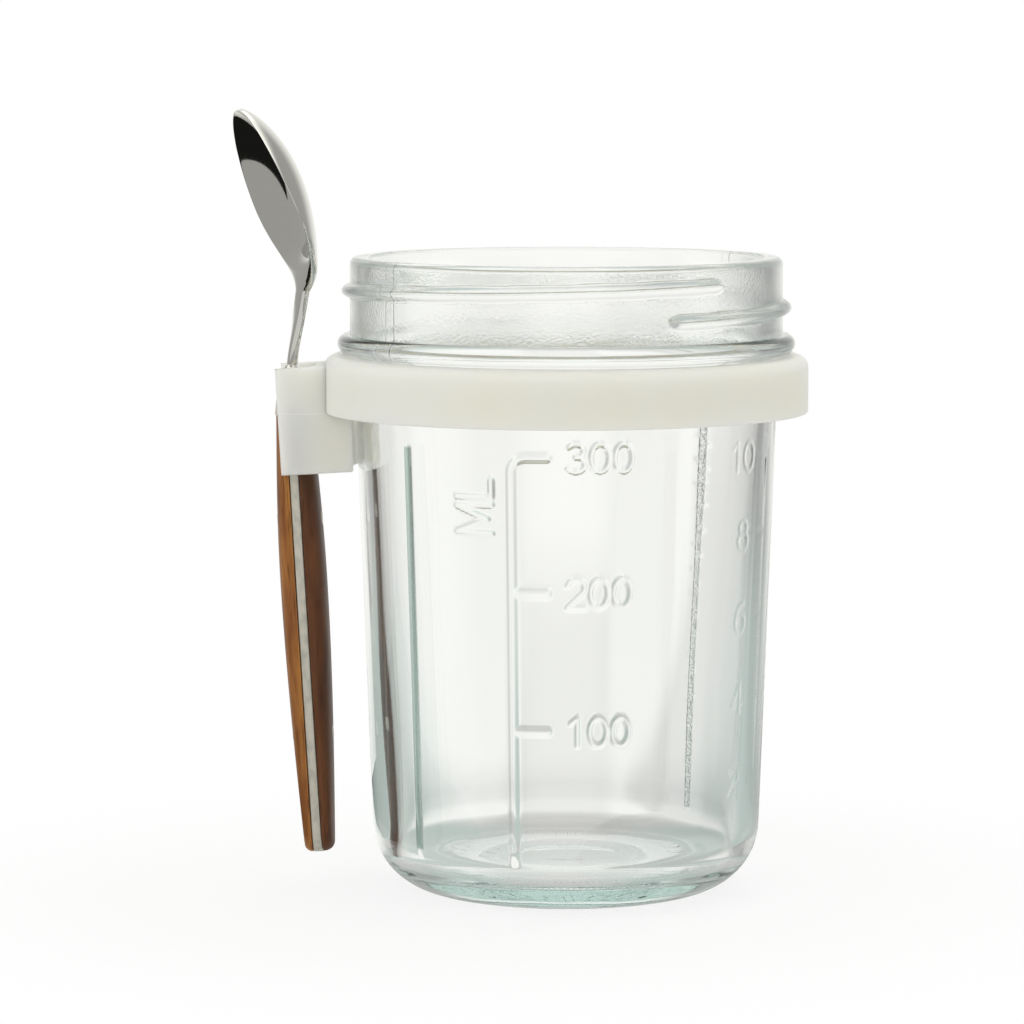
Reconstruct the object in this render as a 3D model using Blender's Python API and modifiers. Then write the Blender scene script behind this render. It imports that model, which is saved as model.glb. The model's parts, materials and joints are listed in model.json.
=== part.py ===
"""Overnight oats jar: a glass jar, a silicone band with a spoon clip, and a spoon.

Units are metres, +Z is up. The jar stands on z = 0, and the origin lies on the
floor under the middle of the whole part. The spoon clip is on the -X side.

The spoon is drawn in its own frame: local Z runs up the handle from its end,
local -X points away from the jar, and local Y lies across the handle.
"""
import math

import bmesh
import bpy
import numpy as np

# Gap that touching pieces keep, how far a cutter runs past what it cuts, and
# how close two points lie before they are welded
CLEARANCE = 0.0003
CUT_OVERRUN = 0.004
WELD_DISTANCE = 0.00003

# Glass jar: heights
JAR_HEIGHT = 0.1230
FINISH_HEIGHT = 0.0148
BEAD_HEIGHT = 0.0038

# Glass jar: radii and walls
NECK_RADIUS = 0.0418
BEAD_REACH = 0.0024
SHOULDER_SET_IN = 0.0007
SIDE_TAPER = 0.0035
WALL = 0.0037
NECK_WALL = 0.0040
FLOOR_THICKNESS = 0.0050

# Glass jar: rounded edges and the foot
HEEL_RADIUS = 0.0134
INNER_HEEL_RADIUS = 0.0090
RIM_OUTER_ROUND = 0.0013
RIM_INNER_ROUND = 0.0010
STANDING_RING_WIDTH = 0.0030
PUSH_UP = 0.0020
FLOOR_DOME = 0.0010

# Raised ribs on opposite sides of the glass, and its two measuring scales
RIB_HALF_WIDTH = 0.0011
RIB_RELIEF = 0.0009
RIB_FOOT_GAP = 0.0002
RIB_TOP_GAP = 0.0034
RIB_ANGLE = math.radians(223.5)
MARK_HALF_WIDTH = 0.00115
MARK_RELIEF = 0.0008
MARK_HEEL_OVERLAP = 0.0016
MARK_ANGLE = math.radians(256.3)
TICK_HALF_WIDTH = 0.0011
TICK_RELIEF = 0.0006
TICK_LENGTH = 0.0063
HOOK_RADIUS = 0.0026
MARK_HEIGHT_SHARES = (0.386, 0.672, 0.940)
SIDE_MARK_FOOT_GAP = 0.0056
SIDE_MARK_ANGLE = math.radians(343.0)
SIDE_TICK_LENGTH = 0.0036
SIDE_MARK_HEIGHT_SHARES = (0.257, 0.427, 0.595, 0.764, 0.926)
RELIEF_SINK = 0.0004

# Silicone band
BAND_HEIGHT = 0.0110
BAND_THICKNESS = 0.0054
BAND_TOP_ROUND = 0.0024
BAND_EDGE_ROUND = 0.0004

# Spoon clip, moulded in one piece with the band
CLIP_HEIGHT = 0.0206
CLIP_DROP = 0.0023
CLIP_WALL = 0.0019
CLIP_BACK_WALL = 0.0012
CLIP_LIP_SHARE = 0.19
CLIP_EDGE_ROUND = 0.0006
GLASS_RELIEF = 0.0014
SPOON_LEAN = math.radians(3.3)

# Spoon handle: two wooden scales on a full tang, which reach from just over
# the table to just over the clip's middle
HANDLE_FOOT_HEIGHT = 0.0071
HANDLE_OVER_CLIP = 0.00076
HANDLE_TOP_WIDTH = 0.0118
HANDLE_MIDDLE_WIDTH = 0.0132
HANDLE_END_WIDTH = 0.0114
TANG_THICKNESS = 0.0020
TANG_OVERHANG = 0.0003
OUTER_RISE_TOP = 0.0018
OUTER_RISE_MIDDLE = 0.0030
OUTER_RISE_END = 0.0014
INNER_RISE_TOP = 0.0023
INNER_RISE_MIDDLE = 0.0034
INNER_RISE_END = 0.0017
HANDLE_END_ROUND = 0.0046
SCALE_END_ROUND = 0.0012
HANDLE_FULLEST_SHARE = 0.62

# Steel bolster and neck
BOLSTER_LENGTH = 0.0095
NECK_LENGTH = 0.0143
NECK_WIDTH = 0.0044
NECK_THICKNESS = 0.0021
NECK_LEAN = math.radians(13.0)
NECK_LEAN_SHARE = 0.66

# Spoon bowl
BOWL_LENGTH = 0.0376
BOWL_WIDTH = 0.0260
BOWL_DEPTH = 0.0060
BOWL_GAUGE = 0.0012
BOWL_LEAN = math.radians(21.6)
BOWL_TIP_LEAN = math.radians(16.5)
BOWL_TURN = math.radians(22.8)
BOWL_BEND_SHARE = 0.16
BOWL_WIDEST_SHARE = 0.44

# Powers that set how square or how pointed a rounded form is
WOOD_POWER = 2.5
STEEL_POWER = 3.0
TANG_POWER = 8.0
BOWL_POINT_POWER = 1.7
BOWL_HEEL_POWER = 1.1
BOWL_TIP_POWER = 0.8

# Rivets through the handle
PIN_RADIUS = 0.0016
PIN_INSET = 0.0001
LOWER_PIN_SHARE = 0.27
UPPER_PIN_SHARE = 0.76

# How finely round forms are divided
TURN_STEPS = 64
SECTION_POINTS = 28
PIN_SIDES = 24

# Heights and radii that follow from the sizes above
BEAD_TOP = JAR_HEIGHT - FINISH_HEIGHT
BEAD_BOTTOM = BEAD_TOP - BEAD_HEIGHT
BEAD_RADIUS = NECK_RADIUS + BEAD_REACH
MOUTH_RADIUS = NECK_RADIUS - NECK_WALL
SHOULDER_RADIUS = NECK_RADIUS - SHOULDER_SET_IN
BASE_RADIUS = SHOULDER_RADIUS - SIDE_TAPER
BAND_TOP = BEAD_BOTTOM - CLEARANCE
BAND_BOTTOM = BAND_TOP - BAND_HEIGHT
BAND_RADIUS = SHOULDER_RADIUS + CLEARANCE + BAND_THICKNESS

# Where a scale's flat lies out from the tang's middle
SCALE_SEAT = TANG_THICKNESS / 2 + CLEARANCE

# The slot of the clip lets the fullest part of the handle through
SLOT_HALF_WIDTH = HANDLE_MIDDLE_WIDTH / 2 + CLEARANCE
SLOT_FRONT_RISE = OUTER_RISE_MIDDLE + CLEARANCE
SLOT_BACK_RISE = INNER_RISE_MIDDLE + CLEARANCE
CLIP_MIDDLE = BAND_TOP - CLIP_DROP - CLIP_HEIGHT / 2
CLIP_REACH = BAND_RADIUS + CLIP_BACK_WALL + SLOT_BACK_RISE + SCALE_SEAT
HANDLE_LENGTH = (CLIP_MIDDLE - HANDLE_FOOT_HEIGHT) / math.cos(SPOON_LEAN) + HANDLE_OVER_CLIP


def taper():
    """Angle from the vertical at which the jar's side leans outwards."""
    return math.atan2(SHOULDER_RADIUS - BASE_RADIUS, BEAD_BOTTOM - HEEL_RADIUS)


def body_radius(z):
    """Outer radius of the glass at a height on the straight side."""
    return SHOULDER_RADIUS - (BEAD_BOTTOM - z) * math.tan(taper())


def arc(centre_r, centre_z, radius, start, end, steps):
    """Points (r, z) of an arc, with its angles in degrees from +r towards +z."""
    angles = np.radians(np.linspace(start, end, steps + 1))
    return [(centre_r + radius * math.cos(a), centre_z + radius * math.sin(a)) for a in angles]


def new_collection(name):
    """Add a collection to the scene."""
    collection = bpy.data.collections.new(name)
    bpy.context.scene.collection.children.link(collection)
    return collection


def material(name, colour, roughness, metallic=0.0, transmission=0.0, ior=1.5):
    """A Principled material with one colour and finish."""
    made = bpy.data.materials.new(name)
    made.use_nodes = True
    shader = made.node_tree.nodes["Principled BSDF"]
    shader.inputs["Base Color"].default_value = (*colour, 1.0)
    shader.inputs["Roughness"].default_value = roughness
    shader.inputs["Metallic"].default_value = metallic
    shader.inputs["Transmission Weight"].default_value = transmission
    shader.inputs["IOR"].default_value = ior
    return made


def new_object(name, mesh, collection, finish=None, parent=None):
    """Put a mesh in a collection as a named object."""
    made = bpy.data.objects.new(name, mesh)
    collection.objects.link(made)
    if finish:
        mesh.materials.append(finish)
    made.parent = parent
    return made


def shade(obj, degrees=32):
    """Shade smooth, with sharp edges past an angle."""
    obj.data.shade_smooth()
    obj.data.set_sharp_from_angle(angle=math.radians(degrees))


def turned(name, profile, closed, collection, finish=None):
    """Turn a profile of (r, z) points about Z; it runs down its outer side."""
    mesh = bpy.data.meshes.new(name)
    count = len(profile)
    edges = [(i, i + 1) for i in range(count - 1)]
    if closed:
        edges.append((count - 1, 0))
    mesh.from_pydata([(r, 0.0, z) for r, z in profile], edges, [])
    made = new_object(name, mesh, collection, finish)
    screw = made.modifiers.new("turn", "SCREW")
    screw.steps = TURN_STEPS
    screw.render_steps = TURN_STEPS
    screw.use_merge_vertices = True
    screw.merge_threshold = WELD_DISTANCE
    screw.use_smooth_shade = True
    return made


def loft(name, rings, collection, finish, parent):
    """Skin a row of closed sections that have the same number of points."""
    body = bmesh.new()
    rows = [[body.verts.new(point) for point in ring] for ring in rings]
    count = len(rows[0])
    for low, high in zip(rows, rows[1:]):
        for i in range(count):
            j = (i + 1) % count
            body.faces.new((low[i], low[j], high[j], high[i]))
    body.faces.new(rows[0][::-1])
    body.faces.new(rows[-1])
    bmesh.ops.recalc_face_normals(body, faces=body.faces)
    mesh = bpy.data.meshes.new(name)
    body.to_mesh(mesh)
    body.free()
    made = new_object(name, mesh, collection, finish, parent)
    shade(made)
    return made


def boolean(target, operand, operation):
    """Cut or join one mesh object with another, exactly."""
    step = target.modifiers.new(operand.name, "BOOLEAN")
    step.operation = operation
    step.solver = "EXACT"
    step.object = operand
    operand.hide_render = True
    operand.display_type = "WIRE"


def jar_profile():
    """The glass in section, from the inner floor over the rim to the push-up."""
    lean = math.degrees(taper())
    floor = PUSH_UP + FLOOR_THICKNESS - FLOOR_DOME
    inner_r = BASE_RADIUS - WALL - INNER_HEEL_RADIUS
    dome_shares = np.linspace(0.0, 1.0, 4)[:-1]
    points = [(inner_r * s, floor + FLOOR_DOME * math.cos(s * math.pi / 2)) for s in dome_shares]
    points += arc(inner_r, floor + INNER_HEEL_RADIUS, INNER_HEEL_RADIUS, -90, -lean, 6)
    points += arc(MOUTH_RADIUS + RIM_INNER_ROUND, JAR_HEIGHT - RIM_INNER_ROUND,
                  RIM_INNER_ROUND, 180, 90, 3)
    points += arc(NECK_RADIUS - RIM_OUTER_ROUND, JAR_HEIGHT - RIM_OUTER_ROUND,
                  RIM_OUTER_ROUND, 90, 0, 4)
    points.append((NECK_RADIUS, BEAD_TOP))
    nose = BEAD_HEIGHT / 2
    points += arc(BEAD_RADIUS - nose, BEAD_TOP - nose, nose, 90, -90, 8)
    points.append((SHOULDER_RADIUS, BEAD_BOTTOM))
    heel_r = BASE_RADIUS - HEEL_RADIUS
    points += arc(heel_r, HEEL_RADIUS, HEEL_RADIUS, -lean, -90, 8)
    ring_r = heel_r - STANDING_RING_WIDTH
    rise_shares = np.linspace(1.0, 0.0, 5)
    points += [(ring_r * s, PUSH_UP * math.cos(s * math.pi / 2) ** 2) for s in rise_shares]
    return points


def relief_paths():
    """Middle lines (s, z, half width, relief) of all that stands out of the glass.

    The side is unrolled at its base, so that s is an angle times the base's radius.
    """
    ribs = []
    for angle in (RIB_ANGLE, RIB_ANGLE - math.pi):
        s = BASE_RADIUS * angle
        ribs.append([(s, HEEL_RADIUS + RIB_FOOT_GAP), (s, BAND_BOTTOM - RIB_TOP_GAP)])

    s = BASE_RADIUS * MARK_ANGLE
    low, middle, high = [BAND_BOTTOM * share for share in MARK_HEIGHT_SHARES]
    hook = arc(s + HOOK_RADIUS, high - HOOK_RADIUS, HOOK_RADIUS, 180, 90, 4)
    lines = [[(s, HEEL_RADIUS - MARK_HEEL_OVERLAP), *hook, (s + TICK_LENGTH, high)]]
    ticks = [[(s, z), (s + TICK_LENGTH, z)] for z in (low, middle)]

    s = BASE_RADIUS * SIDE_MARK_ANGLE
    heights = [BAND_BOTTOM * share for share in SIDE_MARK_HEIGHT_SHARES]
    lines.append([(s, HEEL_RADIUS + SIDE_MARK_FOOT_GAP), (s, heights[-1] + MARK_HALF_WIDTH)])
    ticks += [[(s, z), (s - SIDE_TICK_LENGTH, z)] for z in heights]
    bars = [(path, RIB_HALF_WIDTH, RIB_RELIEF) for path in ribs]
    bars += [(path, MARK_HALF_WIDTH, MARK_RELIEF) for path in lines]
    bars += [(path, TICK_HALF_WIDTH, TICK_RELIEF) for path in ticks]
    return bars


def relief_rings(path, half_width, relief):
    """Sections of a rounded bar that runs along a path on the side of the glass."""
    angles = np.linspace(0.0, math.pi, 7)
    points = np.array(path)
    ahead = np.gradient(points, axis=0)
    ahead /= np.linalg.norm(ahead, axis=1)[:, None]
    rings = []
    for (s, z), (run, rise) in zip(points, ahead):
        ring = []
        for angle in angles:
            aside = half_width * math.cos(angle)
            up = z + aside * run
            out = body_radius(up) - RELIEF_SINK + (relief + RELIEF_SINK) * math.sin(angle)
            turn = (s - aside * rise) / BASE_RADIUS
            ring.append((out * math.cos(turn), out * math.sin(turn), up))
        rings.append(ring)
    return rings


def build_jar(collection, cutters, axis):
    """The glass jar, with its sealing rim, transfer bead, heel, push-up, ribs and marks."""
    glass = material("clear_glass", (0.86, 0.94, 0.92), 0.03, transmission=1.0, ior=1.5)
    jar = turned("glass_jar", jar_profile(), False, collection, glass)
    jar.parent = axis
    for path, half_width, relief in relief_paths():
        bar = loft("raised_bar", relief_rings(path, half_width, relief), cutters, None, axis)
        boolean(jar, bar, "UNION")
    return jar


def band_profile():
    """The band in section: it follows the leaning side of the glass."""
    inner_top = body_radius(BAND_TOP) + CLEARANCE
    inner_bottom = body_radius(BAND_BOTTOM) + CLEARANCE
    points = [(inner_top, BAND_TOP)]
    points += arc(BAND_RADIUS - BAND_TOP_ROUND, BAND_TOP - BAND_TOP_ROUND,
                  BAND_TOP_ROUND, 90, 0, 5)
    points += arc(BAND_RADIUS - BAND_EDGE_ROUND, BAND_BOTTOM + BAND_EDGE_ROUND,
                  BAND_EDGE_ROUND, 0, -90, 2)
    points.append((inner_bottom, BAND_BOTTOM))
    return points


def oval(half_width, rise, angle, power):
    """Point (out, across) of a rounded oval at an angle from its widest place."""
    across = half_width * math.copysign(abs(math.cos(angle)) ** (2 / power), math.cos(angle))
    out = rise * math.copysign(abs(math.sin(angle)) ** (2 / power), math.sin(angle))
    return out, across


def crown_point(side, half_width, rise, angle):
    """Point (out, across) of a crown that stands on a scale's seat, on one side."""
    out, across = oval(half_width, rise, angle, WOOD_POWER)
    return side * (SCALE_SEAT + out), across


def angle_at(share):
    """Angle at which a crown has risen to a share of its height."""
    return math.asin(share ** (WOOD_POWER / 2))


def clip_outline():
    """The clip seen along the handle: a C that hugs the wood, on a root block.

    The slot's wall runs from one lip round the back to the other lip. The
    outer wall follows the same crown past the middle, and runs straight back
    to the band.
    """
    half = SLOT_HALF_WIDTH + CLIP_WALL
    front_rise = SLOT_FRONT_RISE + CLIP_WALL
    lip_rise = SLOT_FRONT_RISE * CLIP_LIP_SHARE
    root = SCALE_SEAT + SLOT_BACK_RISE + CLIP_BACK_WALL + BAND_THICKNESS + CUT_OVERRUN
    inner_angles = np.linspace(angle_at(CLIP_LIP_SHARE), 0.0, 4)
    back_angles = np.linspace(0.0, math.pi / 2, 9)
    outer_angles = np.linspace(0.0, angle_at(lip_rise / front_rise), 4)
    right = [(-root, half)]
    right += [crown_point(1, half, front_rise, a) for a in outer_angles]
    right += [crown_point(1, SLOT_HALF_WIDTH, SLOT_FRONT_RISE, a) for a in inner_angles]
    right += [crown_point(-1, SLOT_HALF_WIDTH, SLOT_BACK_RISE, a) for a in back_angles]
    left = [(out, -across) for out, across in reversed(right[:-1])]
    return right + left


def build_band(collection, cutters, axis):
    """The silicone band with its clip, one moulding that turns on the jar."""
    silicone = material("white_silicone", (0.74, 0.74, 0.70), 0.5)
    band = turned("silicone_band", band_profile(), True, collection, silicone)
    band.parent = axis

    outline = bpy.data.curves.new("clip_outline", "CURVE")
    outline.dimensions = "2D"
    outline.fill_mode = "BOTH"
    outline.extrude = CLIP_HEIGHT / 2
    points = clip_outline()
    spline = outline.splines.new("POLY")
    spline.points.add(len(points) - 1)
    for point, (out, across) in zip(spline.points, points):
        point.co = (-out, across, 0.0, 1.0)
    spline.use_cyclic_u = True
    drawn = bpy.data.objects.new("clip_outline", outline)
    cutters.objects.link(drawn)
    clip = as_mesh(drawn, "clip_block", cutters)
    clip.parent = axis
    clip.location = (-CLIP_REACH, 0.0, CLIP_MIDDLE)
    clip.rotation_euler = (0.0, -SPOON_LEAN, 0.0)
    soften = clip.modifiers.new("soften", "BEVEL")
    soften.width = CLIP_EDGE_ROUND
    soften.segments = 2
    soften.limit_method = "ANGLE"
    soften.angle_limit = math.radians(60)

    low = CLIP_MIDDLE - CLIP_HEIGHT / 2 - CUT_OVERRUN
    relief_bottom = body_radius(low) + GLASS_RELIEF
    relief_top = body_radius(BAND_BOTTOM) + GLASS_RELIEF
    seat = [(0.0, BAND_TOP + CUT_OVERRUN),
            (body_radius(BAND_TOP + CUT_OVERRUN) + CLEARANCE, BAND_TOP + CUT_OVERRUN),
            (body_radius(BAND_BOTTOM) + CLEARANCE, BAND_BOTTOM),
            (relief_top, BAND_BOTTOM),
            (relief_bottom, low),
            (0.0, low)]
    room = turned("room_for_glass", seat, False, cutters)
    room.parent = axis
    boolean(band, clip, "UNION")
    boolean(band, room, "DIFFERENCE")
    shade(band)
    return band


def as_mesh(drawn, name, collection):
    """Turn a filled curve into a welded mesh object, and remove the curve."""
    bpy.context.view_layer.update()
    graph = bpy.context.evaluated_depsgraph_get()
    mesh = bpy.data.meshes.new_from_object(drawn.evaluated_get(graph))
    body = bmesh.new()
    body.from_mesh(mesh)
    bmesh.ops.remove_doubles(body, verts=body.verts, dist=WELD_DISTANCE)
    bmesh.ops.dissolve_limit(body, angle_limit=math.radians(1), verts=body.verts,
                             edges=body.edges)
    bmesh.ops.recalc_face_normals(body, faces=body.faces)
    body.to_mesh(mesh)
    body.free()
    bpy.data.objects.remove(drawn)
    return new_object(name, mesh, collection)


def swell(share, end, middle, top):
    """A size along the handle: end, fullest place and top, joined smoothly."""
    if share < HANDLE_FULLEST_SHARE:
        part = math.sin(math.pi / 2 * share / HANDLE_FULLEST_SHARE)
        return end + (middle - end) * part
    part = math.cos(math.pi / 2 * (share - HANDLE_FULLEST_SHARE) / (1 - HANDLE_FULLEST_SHARE))
    return top + (middle - top) * part


def handle_half_width(p):
    """Half the handle's width at a distance from its end, rounded at the end."""
    share = min(max(p / HANDLE_LENGTH, 0.0), 1.0)
    width = swell(share, HANDLE_END_WIDTH, HANDLE_MIDDLE_WIDTH, HANDLE_TOP_WIDTH)
    inward = max(0.0, 1.0 - (p + TANG_OVERHANG) / HANDLE_END_ROUND)
    half_end = width / 2 - HANDLE_END_ROUND
    return half_end + HANDLE_END_ROUND * math.sqrt(1.0 - inward ** 2)


def crown(p, end, middle, top):
    """How far a scale's crown stands over its seat, rounded at its end."""
    share = min(max(p / HANDLE_LENGTH, 0.0), 1.0)
    inward = max(0.0, 1.0 - p / SCALE_END_ROUND)
    return swell(share, end, middle, top) - SCALE_END_ROUND * (1.0 - math.sqrt(1.0 - inward ** 2))


def handle_stations(first, last):
    """Distances from the handle's end: close at the rounded end, then even."""
    rounded_shares = 1.0 - np.cos(np.linspace(0.0, math.pi / 2, 5))
    straight_shares = np.linspace(0.0, 1.0, 11)[1:]
    near = first + (HANDLE_END_ROUND - first) * rounded_shares
    far = HANDLE_END_ROUND + (last - HANDLE_END_ROUND) * straight_shares
    return [*near, *far]


def scale_rings(side, rises):
    """Sections of one wooden scale: a crown over a flat on the tang."""
    angles = np.linspace(0.0, math.pi, SECTION_POINTS // 2 + 1)
    rings = []
    for p in handle_stations(0.0, HANDLE_LENGTH):
        half = handle_half_width(p)
        rise = crown(p, *rises)
        rings.append([(*crown_point(side, half, rise, a), p) for a in angles])
    return rings


def smooth(share):
    """Ease from 0 to 1."""
    share = min(max(share, 0.0), 1.0)
    return share * share * (3.0 - 2.0 * share)


def steel_lean(length):
    """Lean of the steel's middle line off the handle's line, at a length past it.

    The neck leans back towards the jar, and the bowl bends out from there.
    """
    stem = BOLSTER_LENGTH + NECK_LENGTH
    if length <= stem:
        return -NECK_LEAN * smooth(length / (NECK_LEAN_SHARE * stem))
    share = (length - stem) / BOWL_LENGTH
    if share < BOWL_BEND_SHARE:
        return -NECK_LEAN + (NECK_LEAN + BOWL_LEAN) * smooth(share / BOWL_BEND_SHARE)
    past = (share - BOWL_BEND_SHARE) / (1.0 - BOWL_BEND_SHARE)
    return BOWL_LEAN + (BOWL_TIP_LEAN - BOWL_LEAN) * past


def steel_path(lengths):
    """Middle line of the steel: (out, up, lean) at each length past the wood."""
    out = 0.0
    up = HANDLE_LENGTH + CLEARANCE
    before = lengths[0]
    places = []
    for length in lengths:
        lean = steel_lean((length + before) / 2)
        out += (length - before) * math.sin(lean)
        up += (length - before) * math.cos(lean)
        places.append((out, up, steel_lean(length)))
        before = length
    return places


def blade_section(place, half_width, half_thickness, power, sag=0.0, turn=0.0):
    """One section of the steel, square to its middle line: a bar that may sag."""
    middle_out, middle_up, lean = place
    ring = []
    for angle in np.arange(SECTION_POINTS) * 2 * math.pi / SECTION_POINTS:
        rise, across = oval(half_width, half_thickness, angle, power)
        rise -= sag * (1.0 - (across / half_width) ** 2)
        out = middle_out + rise * math.cos(lean)
        turned_out = out * math.cos(turn) + across * math.sin(turn)
        turned_across = across * math.cos(turn) - out * math.sin(turn)
        ring.append((-turned_out, turned_across, middle_up - rise * math.sin(lean)))
    return ring


def tang_rings():
    """Sections of the full tang, from just past the handle's end."""
    stations = handle_stations(-TANG_OVERHANG, HANDLE_LENGTH)
    return [blade_section((0.0, p, 0.0), handle_half_width(p), TANG_THICKNESS / 2, TANG_POWER)
            for p in stations]


def bolster_size(share):
    """Half width and half thickness of the bolster, which thins to the neck."""
    part = math.sqrt(max(0.0, 1.0 - share ** 2)) * (1.0 - share / 2)
    depth = SCALE_SEAT + (OUTER_RISE_TOP + INNER_RISE_TOP) / 2
    half_width = NECK_WIDTH / 2 + (HANDLE_TOP_WIDTH - NECK_WIDTH) / 2 * part
    return half_width, NECK_THICKNESS / 2 + (depth - NECK_THICKNESS / 2) * part


def bowl_half_width(share):
    """Half the bowl's width: it flares from the neck and closes to a soft point."""
    if share < BOWL_WIDEST_SHARE:
        part = math.sin(math.pi / 2 * share / BOWL_WIDEST_SHARE)
        return NECK_WIDTH / 2 + (BOWL_WIDTH - NECK_WIDTH) / 2 * part
    past = (share - BOWL_WIDEST_SHARE) / (1.0 - BOWL_WIDEST_SHARE)
    return BOWL_WIDTH / 2 * math.sqrt(1.0 - past ** BOWL_POINT_POWER)


def bowl_sag(share):
    """Depth of the bowl's middle under its rim."""
    deepest = BOWL_HEEL_POWER / (BOWL_HEEL_POWER + BOWL_TIP_POWER)
    most = deepest ** BOWL_HEEL_POWER * (1.0 - deepest) ** BOWL_TIP_POWER
    return BOWL_DEPTH * share ** BOWL_HEEL_POWER * (1.0 - share) ** BOWL_TIP_POWER / most


def bowl_gauge(share):
    """Thickness of the steel, which thins from the neck to the bowl's widest place."""
    thin = smooth(share / BOWL_WIDEST_SHARE)
    return NECK_THICKNESS + (BOWL_GAUGE - NECK_THICKNESS) * thin


def blade_rings():
    """All sections of the steel, from the tang's end to the bowl's tip."""
    bolster_shares = np.linspace(0.0, 1.0, 7)
    neck_shares = np.linspace(0.0, 1.0, 7)[1:-1]
    low_shares = np.linspace(0.0, BOWL_WIDEST_SHARE, 12)[:-1]
    tip_angles = np.radians(np.linspace(0.0, 87.0, 13))
    tip_shares = BOWL_WIDEST_SHARE + (1.0 - BOWL_WIDEST_SHARE) * np.sin(tip_angles)
    bowl_shares = [*low_shares, *tip_shares]

    stem = BOLSTER_LENGTH + NECK_LENGTH
    lengths = [BOLSTER_LENGTH * share for share in bolster_shares]
    lengths += [BOLSTER_LENGTH + NECK_LENGTH * share for share in neck_shares]
    lengths += [stem + BOWL_LENGTH * share for share in bowl_shares]
    places = iter(steel_path(lengths))

    rings = tang_rings()
    for share in bolster_shares:
        rings.append(blade_section(next(places), *bolster_size(share), WOOD_POWER))
    for share in neck_shares:
        rings.append(blade_section(next(places), NECK_WIDTH / 2, NECK_THICKNESS / 2, STEEL_POWER,
                                   turn=BOWL_TURN * smooth(share)))
    for share in bowl_shares:
        rings.append(blade_section(next(places), bowl_half_width(share), bowl_gauge(share) / 2,
                                   STEEL_POWER, bowl_sag(share), BOWL_TURN))
    return rings


def cylinder(name, radius, start_x, end_x, p, collection, finish=None, parent=None):
    """A round bar along the spoon's local X, at a distance from the end."""
    body = bmesh.new()
    bmesh.ops.create_cone(body, cap_ends=True, segments=PIN_SIDES, radius1=radius,
                          radius2=radius, depth=end_x - start_x)
    mesh = bpy.data.meshes.new(name)
    body.to_mesh(mesh)
    body.free()
    made = new_object(name, mesh, collection, finish, parent)
    made.location = ((start_x + end_x) / 2, 0.0, p)
    made.rotation_euler = (0.0, math.pi / 2, 0.0)
    return made


def build_spoon(collection, cutters, slide):
    """The spoon: one steel blade, two wooden scales and the pins that hold them."""
    steel = material("polished_steel", (0.62, 0.61, 0.58), 0.12, metallic=1.0)
    outer_wood = material("outer_walnut", (0.30, 0.13, 0.04), 0.45)
    inner_wood = material("inner_walnut", (0.13, 0.06, 0.02), 0.45)
    pin_steel = material("pin_steel", (0.55, 0.54, 0.52), 0.25, metallic=1.0)

    outer_rises = (OUTER_RISE_END, OUTER_RISE_MIDDLE, OUTER_RISE_TOP)
    inner_rises = (INNER_RISE_END, INNER_RISE_MIDDLE, INNER_RISE_TOP)
    blade = loft("spoon_blade", blade_rings(), collection, steel, slide)
    outer = loft("outer_scale", scale_rings(-1, outer_rises), collection, outer_wood, slide)
    inner = loft("inner_scale", scale_rings(1, inner_rises), collection, inner_wood, slide)

    for name, share in (("lower", LOWER_PIN_SHARE), ("upper", UPPER_PIN_SHARE)):
        p = HANDLE_LENGTH * share
        start_x = PIN_INSET - SCALE_SEAT - crown(p, *outer_rises)
        end_x = SCALE_SEAT + crown(p, *inner_rises) - PIN_INSET
        pin = cylinder(f"{name}_pin", PIN_RADIUS, start_x, end_x, p, collection, pin_steel, slide)
        shade(pin)
        hole = cylinder(f"{name}_pin_hole", PIN_RADIUS + CLEARANCE, start_x - CUT_OVERRUN,
                        end_x + CUT_OVERRUN, p, cutters, parent=slide)
        for piece in (blade, outer, inner):
            boolean(piece, hole, "DIFFERENCE")


def spoon_axis_foot():
    """Where the slide axis passes at the handle's end, from the jar's axis."""
    run = (CLIP_MIDDLE - HANDLE_FOOT_HEIGHT) * math.tan(SPOON_LEAN)
    return run - CLIP_REACH, HANDLE_FOOT_HEIGHT


def jar_offset():
    """Shift of the jar's axis that centres the whole part over the origin."""
    foot_x, _ = spoon_axis_foot()
    points = np.array([point for ring in blade_rings() for point in ring])
    reach = foot_x + points[:, 0] * math.cos(SPOON_LEAN) - points[:, 2] * math.sin(SPOON_LEAN)
    return -(reach.min() + BAND_RADIUS) / 2


def main():
    """Build the whole part."""
    for obj in list(bpy.data.objects):
        bpy.data.objects.remove(obj, do_unlink=True)
    parts = new_collection("overnight_oats_jar")
    cutters = new_collection("cutters")

    axis = bpy.data.objects.new("jar_axis", None)
    parts.objects.link(axis)
    axis.location = (jar_offset(), 0.0, 0.0)
    slide = bpy.data.objects.new("spoon_slide", None)
    parts.objects.link(slide)
    foot_x, foot_z = spoon_axis_foot()
    slide.parent = axis
    slide.location = (foot_x, 0.0, foot_z)
    slide.rotation_euler = (0.0, -SPOON_LEAN, 0.0)

    build_jar(parts, cutters, axis)
    build_band(parts, cutters, axis)
    build_spoon(parts, cutters, slide)


main()
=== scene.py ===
"""Overnight oats jar: the looks of a glass jar, its silicone band and its spoon.

Units are metres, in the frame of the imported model: +Z is up, the jar stands on
z = 0, and the spoon hangs in its clip on the -X side. Angles about the jar are
counted from +X towards +Y, so the photograph looks from 271 degrees.
"""
import json
import logging
import math
from dataclasses import dataclass
from enum import Enum
from typing import Callable, Mapping, Sequence, Union

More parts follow.
